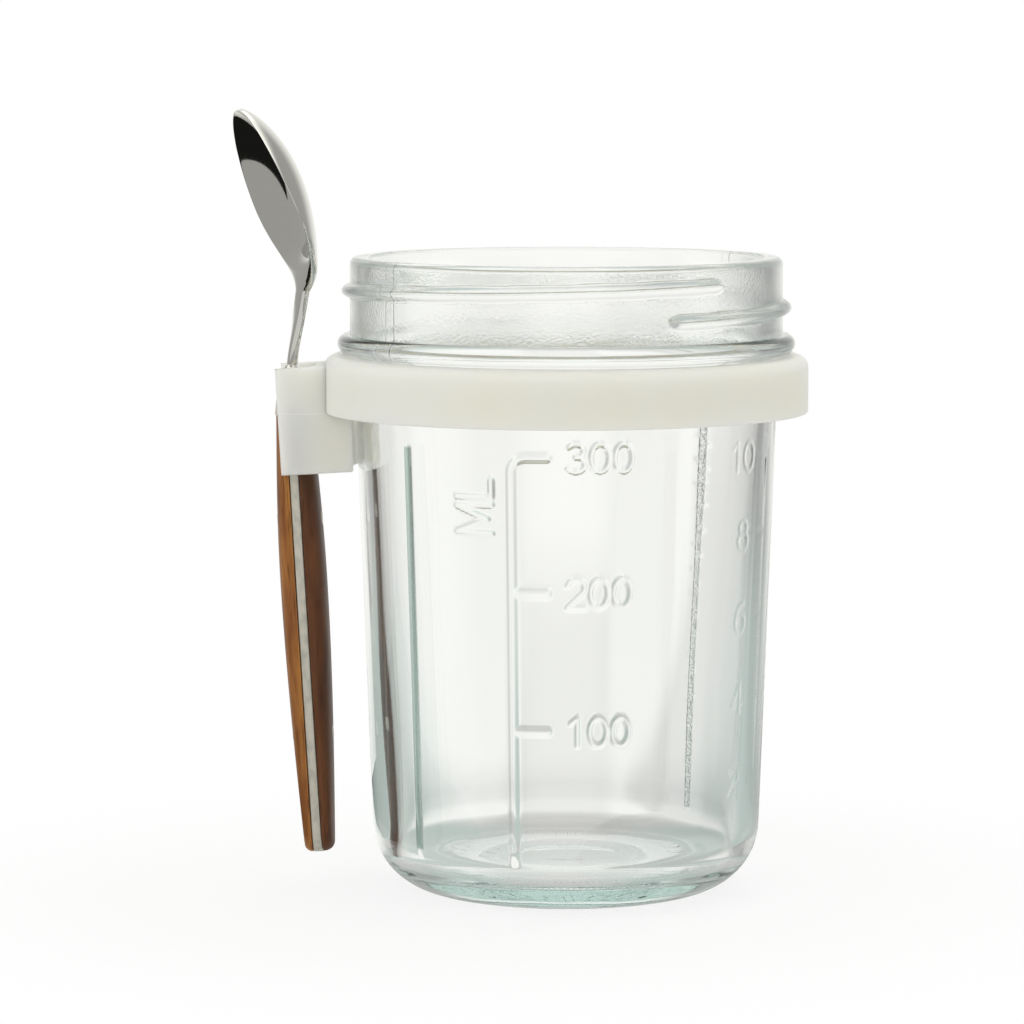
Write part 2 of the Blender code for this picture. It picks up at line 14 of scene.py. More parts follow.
import bpy
import numpy as np
from mathutils import Euler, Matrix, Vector


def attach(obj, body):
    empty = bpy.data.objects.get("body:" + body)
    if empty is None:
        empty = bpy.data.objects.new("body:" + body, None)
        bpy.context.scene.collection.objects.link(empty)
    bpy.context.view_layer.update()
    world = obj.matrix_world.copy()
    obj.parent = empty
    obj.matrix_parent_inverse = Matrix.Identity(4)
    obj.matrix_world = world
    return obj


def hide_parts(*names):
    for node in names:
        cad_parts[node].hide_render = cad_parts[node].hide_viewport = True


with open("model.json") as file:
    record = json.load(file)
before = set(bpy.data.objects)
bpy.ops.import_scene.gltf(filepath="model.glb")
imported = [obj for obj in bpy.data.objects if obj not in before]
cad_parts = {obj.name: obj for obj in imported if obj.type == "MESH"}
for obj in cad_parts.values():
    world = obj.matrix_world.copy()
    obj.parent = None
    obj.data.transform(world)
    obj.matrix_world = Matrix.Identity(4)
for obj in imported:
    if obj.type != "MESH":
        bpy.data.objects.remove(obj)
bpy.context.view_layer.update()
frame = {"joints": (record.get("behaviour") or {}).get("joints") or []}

LOG = logging.getLogger("oats_jar")

Colour = tuple[float, float, float]
Span = tuple[float, float]
Wave = tuple[float, float, float]
Array = np.ndarray
Material = bpy.types.Material
Object = bpy.types.Object

QUARTER = math.pi / 2


class Body(Enum):
    """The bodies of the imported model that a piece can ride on."""

    JAR = "jar"
    BAND = "band"
    SPOON = "spoon"


class Side(Enum):
    """Side of the tang that a scale lies on, as its sign along the spoon's own X."""

    OUTER = -1
    INNER = 1


# ---- meshes from grids ----


def skin(name: str, points: Array, sharp_over: float, loop_rows: bool) -> bpy.types.Mesh:
    """Make a closed mesh from a grid whose columns join into rings.

    Each cell of the grid is one quad. Where the rows don't join too, a fan to
    its mean closes the first and the last ring. The signed volume is the sum
    of v0 . (v1 x v2) / 6 over the triangles. Where it is below zero all faces
    are turned round, so that they point outwards.

    Args:
        name: Name of the mesh.
        points: Grid of places, rows x columns x 3.
        sharp_over: Angle in degrees over which an edge is shaded sharp.
        loop_rows: Whether the last row joins the first, as on a ring.

    Returns:
        The mesh, shaded smooth.
    """
    rows, columns, _ = points.shape
    index = np.arange(rows * columns).reshape(rows, columns)
    low = index if loop_rows else index[:-1]
    high = np.roll(index, -1, axis=0)[: len(low)]
    quads = np.stack([low, np.roll(low, -1, 1), np.roll(high, -1, 1), high], -1).reshape(-1, 4)
    places = points.reshape(-1, 3)
    fans = np.empty((0, 3), dtype=int)
    if not loop_rows:
        places = np.vstack([places, points[0].mean(0), points[-1].mean(0)])
        tips = np.full(columns, index.size)
        first = np.stack([np.roll(index[0], -1), index[0], tips], -1)
        last = np.stack([index[-1], np.roll(index[-1], -1), tips + 1], -1)
        fans = np.vstack([first, last])
    triangles = np.vstack([quads[:, [0, 1, 2]], quads[:, [0, 2, 3]], fans])
    corners = places[triangles]
    normals = np.cross(corners[:, 1], corners[:, 2])
    if np.einsum("ij,ij->i", corners[:, 0], normals).sum() / 6 < 0:
        quads, fans = quads[:, ::-1], fans[:, ::-1]
    mesh = bpy.data.meshes.new(name)
    mesh.from_pydata(places.tolist(), [], quads.tolist() + fans.tolist())
    mesh.shade_smooth()
    mesh.set_sharp_from_angle(angle=math.radians(sharp_over))
    return mesh


def arc(centre: Sequence[float], radius: float, start: float, end: float, count: int) -> Array:
    """Points centre + radius (cos a, sin a), for a from start to end in degrees."""
    angles = np.radians(np.linspace(start, end, count))
    return np.asarray(centre) + radius * np.stack([np.cos(angles), np.sin(angles)], -1)


def line(start: Sequence[float], end: Sequence[float], count: int) -> Array:
    """Evenly spaced points from start to end, without the first and the last."""
    shares = np.linspace(0.0, 1.0, count + 2)[1:-1, None]
    return np.asarray(start) * (1.0 - shares) + np.asarray(end) * shares


def ease(share: Array) -> Array:
    """The cubic 3 s^2 - 2 s^3, held at 0 below 0 and at 1 above 1."""
    share = np.clip(share, 0.0, 1.0)
    return share * share * (3.0 - 2.0 * share)


def oval(half: Array, rise: Array, angle: Array, power: Array) -> tuple[Array, Array]:
    """Rounded oval: rise |sin a|^(2/power) and half |cos a|^(2/power), with their signs."""
    cos, sin = np.cos(angle), np.sin(angle)
    across = half * np.sign(cos) * np.abs(cos) ** (2.0 / power)
    return rise * np.sign(sin) * np.abs(sin) ** (2.0 / power), across


def spin(axis_x: float, radius: Array, z: Array, angle: Array) -> Array:
    """Places (axis + r cos a, r sin a, z) for radii turned about the jar's axis."""
    turn = np.radians(angle)
    return np.stack([axis_x + radius * np.cos(turn), radius * np.sin(turn), z + 0 * turn], -1)


def distance_to_path(s: Array, z: Array, path: Array) -> Array:
    """Distance from each grid point to a path of straight parts.

    For a part from a to b, the nearest place is a + t (b - a), with t the
    projection of the point on the part, held between 0 and 1. The least
    distance over all parts is kept.

    Args:
        s: Place along the surface of each grid point.
        z: Height of each grid point.
        path: Corners of the path, count x 2.

    Returns:
        The distances, in the grid's shape.
    """
    best = np.full(s.shape, np.inf)
    for (s0, z0), (s1, z1) in zip(path[:-1], path[1:]):
        run, rise = s1 - s0, z1 - z0
        t = ((s - s0) * run + (z - z0) * rise) / (run * run + rise * rise)
        t = np.clip(t, 0.0, 1.0)
        best = np.minimum(best, np.hypot(s - s0 - t * run, z - z0 - t * rise))
    return best


def link(name: str, data: bpy.types.ID) -> Object:
    """Put new data in the scene as an object."""
    item = bpy.data.objects.new(name, data)
    bpy.context.scene.collection.objects.link(item)
    return item


@dataclass(frozen=True)
class Piece:
    """A piece of the object: its name, body, slot of the record and CAD node."""

    name: str
    body: Body
    slot: str
    node: str
    sharp_over: float
    loop_rows: bool = False

    def add(self, points: Array, finish: Material) -> Object:
        """Put the piece in the scene.

        Args:
            points: Its grid of places in the frame.
            finish: Its material.

        Returns:
            The new object, which rides on its body and replaces its node.
        """
        mesh = skin(self.name, points, self.sharp_over, self.loop_rows)
        mesh.materials.append(finish)
        piece = link(self.name, mesh)
        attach(piece, self.body.value)
        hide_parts(self.node)
        LOG.info("%s: %d faces, rides on %s", self.name, len(mesh.polygons), self.body.value)
        return piece


# ---- shader graphs ----

Value = Union["Wire", float]


def operator(operation: str, swap: bool = False) -> Callable[["Wire", Value], "Wire"]:
    """An operator of Wire that adds one Math node; swap puts the other value first."""

    def join(wire: "Wire", other: Value) -> "Wire":
        """Join this value and the other one."""
        return wire.graph.math(operation, *((other, wire) if swap else (wire, other)))

    return join


class Wire:
    """A node's output in a Python expression; each operator adds one Math node."""

    __add__ = __radd__ = operator("ADD")
    __sub__ = operator("SUBTRACT")
    __rsub__ = operator("SUBTRACT", swap=True)
    __mul__ = __rmul__ = operator("MULTIPLY")
    __truediv__ = operator("DIVIDE")

    def __init__(self, graph: "Graph", socket: bpy.types.NodeSocket | None) -> None:
        """Wrap one output socket of a graph."""
        self.graph = graph
        self.socket = socket

    def __abs__(self) -> "Wire":
        """The value without its sign."""
        return self.graph.math("ABSOLUTE", self)

    def within(self, low: float, high: float) -> "Wire":
        """0 at low, 1 at high and eased between them; low may be the larger one."""
        limits = {"Value": self, "From Min": low, "From Max": high}
        return self.graph.add("MapRange", limits, interpolation_type="SMOOTHSTEP")

    def between(self, foot: Span, head: Span) -> "Wire":
        """1 past a lower edge and short of an upper one, each where it is 0 and 1."""
        return self.within(*foot) * self.within(*head)


class Graph:
    """The node tree of a material or of the world."""

    def __init__(self, tree: bpy.types.NodeTree) -> None:
        """Start from an emptied tree."""
        tree.nodes.clear()
        self.tree = tree

    def add(
        self,
        kind: str,
        sockets: Mapping[Union[str, int], object] | None = None,
        output: Union[str, int] = 0,
        **settings: object,
    ) -> Wire:
        """Add one node.

        Args:
            kind: The node's type, without its prefix.
            sockets: Values or wires of its inputs, by name or number.
            output: Which output the returned wire stands for.
            settings: Its properties.

        Returns:
            The wire of that output.
        """
        node = self.tree.nodes.new("ShaderNode" + kind)
        for key, value in settings.items():
            setattr(node, key, value)
        for key, value in (sockets or {}).items():
            if isinstance(value, Wire):
                self.tree.links.new(value.socket, node.inputs[key])
            else:
                node.inputs[key].default_value = value
        return Wire(self, node.outputs[output] if len(node.outputs) else None)

    def ramp(self, factor: Wire, stops: Sequence[tuple[float, Colour]]) -> Wire:
        """A colour ramp with a stop at each place."""
        colour = self.add("ValToRGB", {"Fac": factor})
        elements = colour.socket.node.color_ramp.elements
        while len(elements) < len(stops):
            elements.new(1.0)
        for element, (place, stop) in zip(elements, stops):
            element.position, element.color = place, (*stop, 1.0)
        return colour

    def math(self, operation: str, a: Value, b: Value = 0.0) -> Wire:
        """One Math node on two values."""
        return self.add("Math", {0: a, 1: b}, operation=operation)

    def length(self, x: Wire, y: Wire, least: float = 0.0) -> Wire:
        """The root of x^2 + y^2, with a least square added where one is given."""
        square = x * x + y * y
        return self.math("SQRT", square + least if least else square)

    def mix(self, factor: Value, a: object, b: object) -> Wire:
        """A colour mixed from two colours or wires."""
        a, b = (c if isinstance(c, Wire) else (*c, 1.0) for c in (a, b))
        return self.add("Mix", {0: factor, 6: a, 7: b}, 2, data_type="RGBA")

    def place(
        self, moved: Sequence[float] = (0, 0, 0), turned: Sequence[float] = (0, 0, 0)
    ) -> Wire:
        """Object coordinates, moved and then turned about the new origin."""
        location = Euler(turned).to_matrix() @ Vector(moved)
        local = self.add("TexCoord", output="Object")
        sockets = {"Vector": local, "Location": tuple(location), "Rotation": tuple(turned)}
        return self.add("Mapping", sockets)

    def parts(self, vector: Wire) -> tuple[Wire, ...]:
        """The x, y and z of a vector."""
        node = self.add("SeparateXYZ", {"Vector": vector}).socket.node
        return tuple(Wire(self, socket) for socket in node.outputs)

    def noise(
        self,
        vector: Wire,
        scale: float,
        detail: float = 2.0,
        roughness: float = 0.5,
        stretch: Sequence[float] | None = None,
    ) -> Wire:
        """Soft noise from 0 to 1, on a vector whose parts may be scaled first."""
        if stretch:
            vector = self.add("VectorMath", {0: vector, 1: stretch}, operation="MULTIPLY")
        sockets = {"Vector": vector, "Scale": scale, "Detail": detail, "Roughness": roughness}
        return self.add("TexNoise", sockets)

    def bump(self, height: Wire) -> Wire:
        """A normal bent by a height in metres."""
        return self.add("Bump", {"Height": height, "Distance": 1.0, "Strength": 1.0})

    def emission(self, colour: object, strength: Value = 1.0) -> Wire:
        """A surface that gives off light."""
        colour = colour if isinstance(colour, Wire) else (*colour, 1.0)
        return self.add("Emission", {"Color": colour, "Strength": strength})

    def blend(self, factor: Value, first: Wire, second: Wire) -> Wire:
        """A surface mixed from two surfaces."""
        return self.add("MixShader", {0: factor, 1: first, 2: second})

    def finish(self, surface: Wire, **more: Wire) -> None:
        """Link the surface, and a Volume where there is one, to the output."""
        self.add("OutputMaterial", {"Surface": surface, **more})

    def principled(self, sockets: Mapping[str, object], **more: Wire) -> None:
        """Finish the material with a Principled surface."""
        self.finish(self.add("BsdfPrincipled", sockets), **more)


def new_material(name: str) -> tuple[Material, Graph]:
    """An empty node material and its graph."""
    material = bpy.data.materials.new(name)
    material.use_nodes = True
    return material, Graph(material.node_tree)


# ---- the spoon's own frame ----


@dataclass(frozen=True)
class SpoonFrame:
    """Where the spoon hangs: its local Z runs up the handle, its local -X points outwards."""

    axis_x: float
    lean: float = math.radians(3.3)
    clip_middle: float = 0.0915
    clip_reach: float = 0.0530
    foot_height: float = 0.0071

    def foot(self) -> Span:
        """Place (x, z) of the handle's end on its middle line."""
        run = (self.clip_middle - self.foot_height) * math.tan(self.lean)
        return self.axis_x + run - self.clip_reach, self.foot_height

    def local(self, graph: Graph) -> Wire:
        """Object coordinates in the spoon's own frame, for its finishes."""
        x, z = self.foot()
        return graph.place((-x, 0.0, -z), (0, self.lean, 0))

    def turned(self, points: Array, x: float, z: float) -> Array:
        """Local points turned by the lean about Y and moved to a place (x, z)."""
        cos, sin = math.cos(self.lean), math.sin(self.lean)
        world_x = x + points[..., 0] * cos - points[..., 2] * sin
        world_z = z + points[..., 2] * cos + points[..., 0] * sin
        return np.stack([world_x, points[..., 1], world_z], -1)

    def hang(self, points: Array) -> Array:
        """Points of the spoon brought to where it hangs."""
        return self.turned(points, *self.foot())


# ---- finishes ----


@dataclass(frozen=True)
class GlassFinish:
    """Pressed clear glass: tinted in its depth, with a seam, pebbles, slight waves and painted
    shade on the near rib.

    A pair of heights or lengths is where a mask is 0 and where it is 1.
    """

    name: str = "clear_pressed_glass"
    surface_colour: Colour = (1.0, 1.0, 1.0)
    # Painted shade: dark teal colour on the near rib, for the look of light bent through it
    painted_rib_shade_colour: Colour = (0.26, 0.37, 0.335)
    rib_angle: float = 223.5
    far_rib_angle: float = 43.5
    far_rib_roughness: float = 11.0
    rib_edge: Span = (0.00112, 0.00087)
    rib_foot: Span = (0.0112, 0.0118)
    rib_head: Span = (0.0888, 0.0882)
    side_slope: float = 0.04
    side_start: Span = (0.0350, 0.0354)
    depth_colour: Colour = (0.50, 0.80, 0.75)
    depth_density: float = 5.0
    ior: float = 1.5
    pebble_roughness: float = 0.16
    pebble_size: float = 0.00055
    pebble_height: float = 0.000042
    side_pebbles: float = 0.02
    patch_scale: float = 62.0
    patch_edge: Span = (0.42, 0.68)
    patch_share: float = 0.7
    neck_foot: Span = (0.1065, 0.1095)
    neck_head: Span = (0.1222, 0.1212)
    seam_angle: float = 216.5
    seam_foot: Span = (0.1040, 0.1046)
    seam_height: float = 0.00004
    seam_half_width: float = 0.00022
    wave_scale: float = 105.0
    wave_height: float = 0.00010
    wave_head: Span = (0.108, 0.100)
    stipple_count: float = 130.0
    stipple_height: float = 0.00012
    stipple_inside: Span = (0.0235, 0.0245)
    stipple_outside: Span = (0.0292, 0.0284)
    stipple_head: Span = (0.003, 0.0018)

    @staticmethod
    def _facing(graph: Graph, axis_x: float, angle: float) -> tuple[Wire, ...]:
        """Lengths along and across a direction from the jar's axis, and the height."""
        return graph.parts(graph.place((-axis_x, 0, 0), (0, 0, -math.radians(angle))))

    def _seam(self, graph: Graph, axis_x: float) -> Wire:
        """Fine ridges where the mould's halves meet, on the neck and the rim."""
        _, off, z = self._facing(graph, axis_x, self.seam_angle)
        ridge = 1.0 - (abs(off) / self.seam_half_width).within(0.0, 1.0)
        return ridge * z.within(*self.seam_foot) * self.seam_height

    def _ribbed(self, graph: Graph, axis_x: float, angle: float) -> Wire:
        """Where the outer side has the rib of an angle."""
        along, off, z = self._facing(graph, axis_x, angle)
        ends = z.between(self.rib_foot, self.rib_head)
        outside = (along - z * self.side_slope).within(*self.side_start)
        return abs(off).within(*self.rib_edge) * ends * outside

    def _pebbled(self, graph: Graph, local: Wire, z: Wire) -> Wire:
        """How pebbled the neck is: everywhere a little, and more in patches."""
        patches = graph.noise(local, self.patch_scale, 1.0, stretch=(1, 1, 1.6))
        neck = z.between(self.neck_foot, self.neck_head)
        patches = patches.within(*self.patch_edge) * self.patch_share
        return neck * (patches + (1.0 - self.patch_share))

    def _stipple(self, graph: Graph, x: Wire, y: Wire, z: Wire) -> Wire:
        """Short radial ridges round the edge that the jar stands on."""
        angle = graph.math("ARCTAN2", y, x)
        ridges = graph.math("SINE", angle * self.stipple_count).within(-0.2, 0.9)
        radius = graph.length(x, y)
        ring = radius.between(self.stipple_inside, self.stipple_outside)
        return ridges * (ring * z.within(*self.stipple_head)) * self.stipple_height

    def material(self, axis_x: float) -> Material:
        """Make the glass for a jar whose axis is at a place along X."""
        material, graph = new_material(self.name)
        local = graph.place((-axis_x, 0, 0))
        x, y, z = graph.parts(local)
        near, far = (
            self._ribbed(graph, axis_x, angle) for angle in (self.rib_angle, self.far_rib_angle)
        )
        pebbled = self._pebbled(graph, local, z)
        fine = graph.noise(local, 1.0 / self.pebble_size, 2.0, 0.6)
        rough = pebbled + self.side_pebbles + far * self.far_rib_roughness
        broad = graph.noise(local, self.wave_scale, 1.0, stretch=(1, 1, 0.16))
        height = self._seam(graph, axis_x) + fine * rough * self.pebble_height
        height = height + broad * z.within(*self.wave_head) * self.wave_height
        height = height + self._stipple(graph, x, y, z)
        depth = {"Color": (*self.depth_colour, 1.0), "Density": self.depth_density}
        sockets = {
            # Painted shade: the near rib's glass is coloured dark teal
            "Base Color": graph.mix(near, self.surface_colour, self.painted_rib_shade_colour),
            "Roughness": pebbled * self.pebble_roughness,
            "IOR": self.ior,
            "Transmission Weight": 1.0,
            "Normal": graph.bump(height),
        }
        graph.principled(sockets, Volume=graph.add("VolumeAbsorption", depth))
        return material


@dataclass(frozen=True)
class SiliconeFinish:
    """Milky off-white silicone: soft satin, a little light in its depth, faint flow marks and a
    lighter, slightly raised line across the clip.
    """

    name: str = "milky_silicone"
    colour: Colour = (0.80, 0.80, 0.755)
    warm_colour: Colour = (0.80, 0.79, 0.72)
    speck_colour: Colour = (0.55, 0.54, 0.48)
    pale_line_colour: Colour = (0.93, 0.93, 0.90)
    roughness: float = 0.46
    depth_scale: float = 0.006
    cloud_scale: float = 45.0
    speck_scale: float = 900.0
    grain_scale: float = 3200.0
    grain_height: float = 0.000010
    flow_scale: float = 190.0
    flow_height: float = 0.00003
    # A lighter, slightly raised line at one height, on the -X side across the clip
    pale_line_height: float = 0.0930
    pale_line_edge: Span = (0.00016, 0.00004)
    pale_line_side: Span = (-0.0372, -0.0390)
    pale_line_relief: float = 0.00005

    def material(self) -> Material:
        """Make the silicone."""
        material, graph = new_material(self.name)
        local = graph.place()
        cloud = graph.noise(local, self.cloud_scale).within(0.35, 0.70)
        specks = graph.noise(local, self.speck_scale, 1.0).within(0.74, 0.80)
        colour = graph.mix(cloud, self.colour, self.warm_colour)
        colour = graph.mix(specks * 0.12, colour, self.speck_colour)
        grain = graph.noise(local, self.grain_scale) * self.grain_height
        flow = graph.noise(local, self.flow_scale, 1.0) * self.flow_height
        x, _, z = graph.parts(local)
        # Lighter colour and a slight ridge along that line
        pale_line = abs(z - self.pale_line_height).within(*self.pale_line_edge)
        pale_line = pale_line * x.within(*self.pale_line_side)
        sockets = {
            "Base Color": graph.mix(pale_line * 0.6, colour, self.pale_line_colour),
            "Roughness": cloud * 0.08 + self.roughness,
            "IOR": 1.41,
            "Subsurface Weight": 1.0,
            "Subsurface Radius": (1.0, 0.95, 0.85),
            "Subsurface Scale": self.depth_scale,
            "Sheen Weight": 0.12,
            "Sheen Roughness": 0.5,
            "Normal": graph.bump(grain + flow + pale_line * self.pale_line_relief),
        }
        graph.principled(sockets)
        return material


@dataclass(frozen=True)
class SteelFinish:
    """Stainless steel: a mirror on the bowl, ground satin on the edge of the tang."""

    name: str = "polished_steel"
    colour: Colour = (0.66, 0.65, 0.615)
    dull_colours: tuple[Colour, Colour] = ((0.64, 0.60, 0.51), (0.46, 0.44, 0.38))
    mirror_roughness: float = 0.045
    ground_roughness: float = 0.34
    ground_top: float = 0.0945
    ground_fade: float = 0.004
    ground_dullness: float = 0.7
    smear_scale: float = 130.0
    mottle_scale: float = 900.0
    scratch_scale: float = 5200.0
    scratch_height: float = 0.0000025

    def material(self, hang: SpoonFrame) -> Material:
        """Make the steel of a spoon that hangs in a frame."""
        material, graph = new_material(self.name)
        local = hang.local(graph)
        _, _, p = graph.parts(local)
        ground = p.within(self.ground_top, self.ground_top - self.ground_fade)
        smear = graph.noise(local, self.smear_scale).within(0.3, 0.8)
        strokes = graph.noise(local, self.scratch_scale, stretch=(1.0, 0.12, 1.0))
        mottle = graph.noise(local, self.mottle_scale, 3.0, stretch=(1.0, 1.0, 0.5))
        roughness = self.mirror_roughness + smear * 0.025
        roughness = roughness + ground * (self.ground_roughness - self.mirror_roughness)
        dull = graph.mix(mottle.within(0.35, 0.75), *self.dull_colours)
        sockets = {
            "Base Color": graph.mix(ground * 0.85, self.colour, dull),
            "Metallic": 1.0 - ground * self.ground_dullness,
            "Roughness": roughness,
            "Normal": graph.bump(strokes * (ground * 2.0 + 0.05) * self.scratch_height),
        }
        graph.principled(sockets)
        return material


@dataclass(frozen=True)
class WoodFinish:
    """Oiled hardwood with its grain along the handle, and a painted highlight beside the tang."""

    name: str
    dark: Colour
    middle: Colour
    light: Colour
    side: Side
    # Strength and edges of the painted highlight: the wood is coloured lighter close to the tang
    painted_highlight: float
    painted_highlight_edge: Span = (0.0032, 0.0012)
    roughness: float = 0.38
    figure_scale: float = 330.0
    fibre_scale: float = 1900.0
    cloud_scale: float = 120.0
    pore_scale: float = 2600.0
    pore_height: float = 0.00005
    fibre_height: float = 0.00002

    def material(self, hang: SpoonFrame) -> Material:
        """Make the wood of a spoon that hangs in a frame."""
        material, graph = new_material(self.name)
        local = hang.local(graph)
        x, _, _ = graph.parts(local)
        figure = graph.noise(local, self.figure_scale, 3.0, 0.55, (1.0, 1.0, 0.14))
        fibre = graph.noise(local, self.fibre_scale, 3.0, 0.6, (1.0, 1.0, 0.045))
        cloud = graph.noise(local, self.cloud_scale, stretch=(1.0, 1.0, 0.5))
        # Painted highlight: the tone is pushed lighter within a few millimetres of the tang
        painted_highlight_by_tang = (x * float(self.side.value)).within(*self.painted_highlight_edge)
        tone = figure * 0.75 + fibre * 0.28 + cloud * 0.32 - 0.20 + painted_highlight_by_tang * self.painted_highlight
        # The light stop is both the grain's light tone and the colour of the painted highlight by
        # the tang
        colour = graph.ramp(tone, ((0.28, self.dark), (0.52, self.middle), (0.80, self.light)))
        pores = graph.noise(local, self.pore_scale, stretch=(1.0, 1.0, 0.05)).within(0.60, 0.72)
        pore_colour = tuple(part * 0.35 for part in self.dark)
        height = (1.0 - pores) * self.pore_height + fibre * self.fibre_height
        sockets = {
            "Base Color": graph.mix(pores * 0.55, colour, pore_colour),
            "Roughness": self.roughness + fibre * 0.12,
            "Specular IOR Level": 0.25,
            "Coat Weight": 0.04,
            "Coat Roughness": 0.25,
            "Normal": graph.bump(height),
        }
        graph.principled(sockets)
        return material


# ---- embossed figures ----


def curve(centre: Span, radii: Span, start: float, end: float) -> Array:
    """Points of an arc of an ellipse, centre + (rx cos a, ry sin a), every 15 degrees."""
    angles = np.radians(np.linspace(start, end, int(abs(end - start) / 15) + 1))
    return np.asarray(centre) + np.asarray(radii) * np.stack([np.cos(angles), np.sin(angles)], -1)


def glyphs() -> dict[str, list[Array]]:
    """Plain one-stroke figures and letters, each one high, from its lower left corner."""
    bowl = curve((0.30, 0.29), (0.30, 0.29), 0, 360)
    two = [curve((0.30, 0.71), (0.29, 0.29), 165, -35), [(0.0, 0.0), (0.60, 0.0)]]
    return {
        "0": [curve((0.30, 0.50), (0.30, 0.50), 0, 360)],
        "1": [np.array([(0.12, 0.80), (0.36, 1.0), (0.36, 0.0)])],
        "2": [np.vstack(two)],
        "3": [
            curve((0.28, 0.76), (0.26, 0.24), 150, -90),
            curve((0.28, 0.27), (0.31, 0.27), 90, -150),
        ],
        "4": [np.array([(0.46, 0.0), (0.46, 1.0), (0.0, 0.30), (0.62, 0.30)])],
        "6": [bowl, curve((0.46, 0.34), (0.45, 0.66), 175, 85)],
        "8": [bowl, curve((0.30, 0.78), (0.23, 0.22), 0, 360)],
        "M": [np.array([(0.0, 0.0), (0.04, 1.0), (0.40, 0.12), (0.76, 1.0), (0.80, 0.0)])],
        "L": [np.array([(0.0, 1.0), (0.0, 0.0), (0.48, 0.0)])],
    }


@dataclass(frozen=True)
class Writing:
    """A row of figures on the glass: its lower left corner, letter height and direction."""

    text: str
    angle: float
    z: float
    height: float
    pitch: float
    upright: bool = True

    def paths(self, radius: float) -> list[Array]:
        """Strokes as paths (s, z) on the side, unrolled at a radius.

        An upright letter's x runs along s and its y along z. A letter that
        reads upwards has its x along z and its y along -s.
        """
        shapes = glyphs()
        origin = np.array([radius * math.radians(self.angle), self.z])
        paths = []
        for place, letter in enumerate(self.text):
            for stroke in shapes[letter]:
                x, y = (stroke * self.height + (place * self.pitch, 0.0)).T
                paths.append(origin + np.stack([x, y] if self.upright else [-y, x], -1))
        return paths


# ---- the jar ----


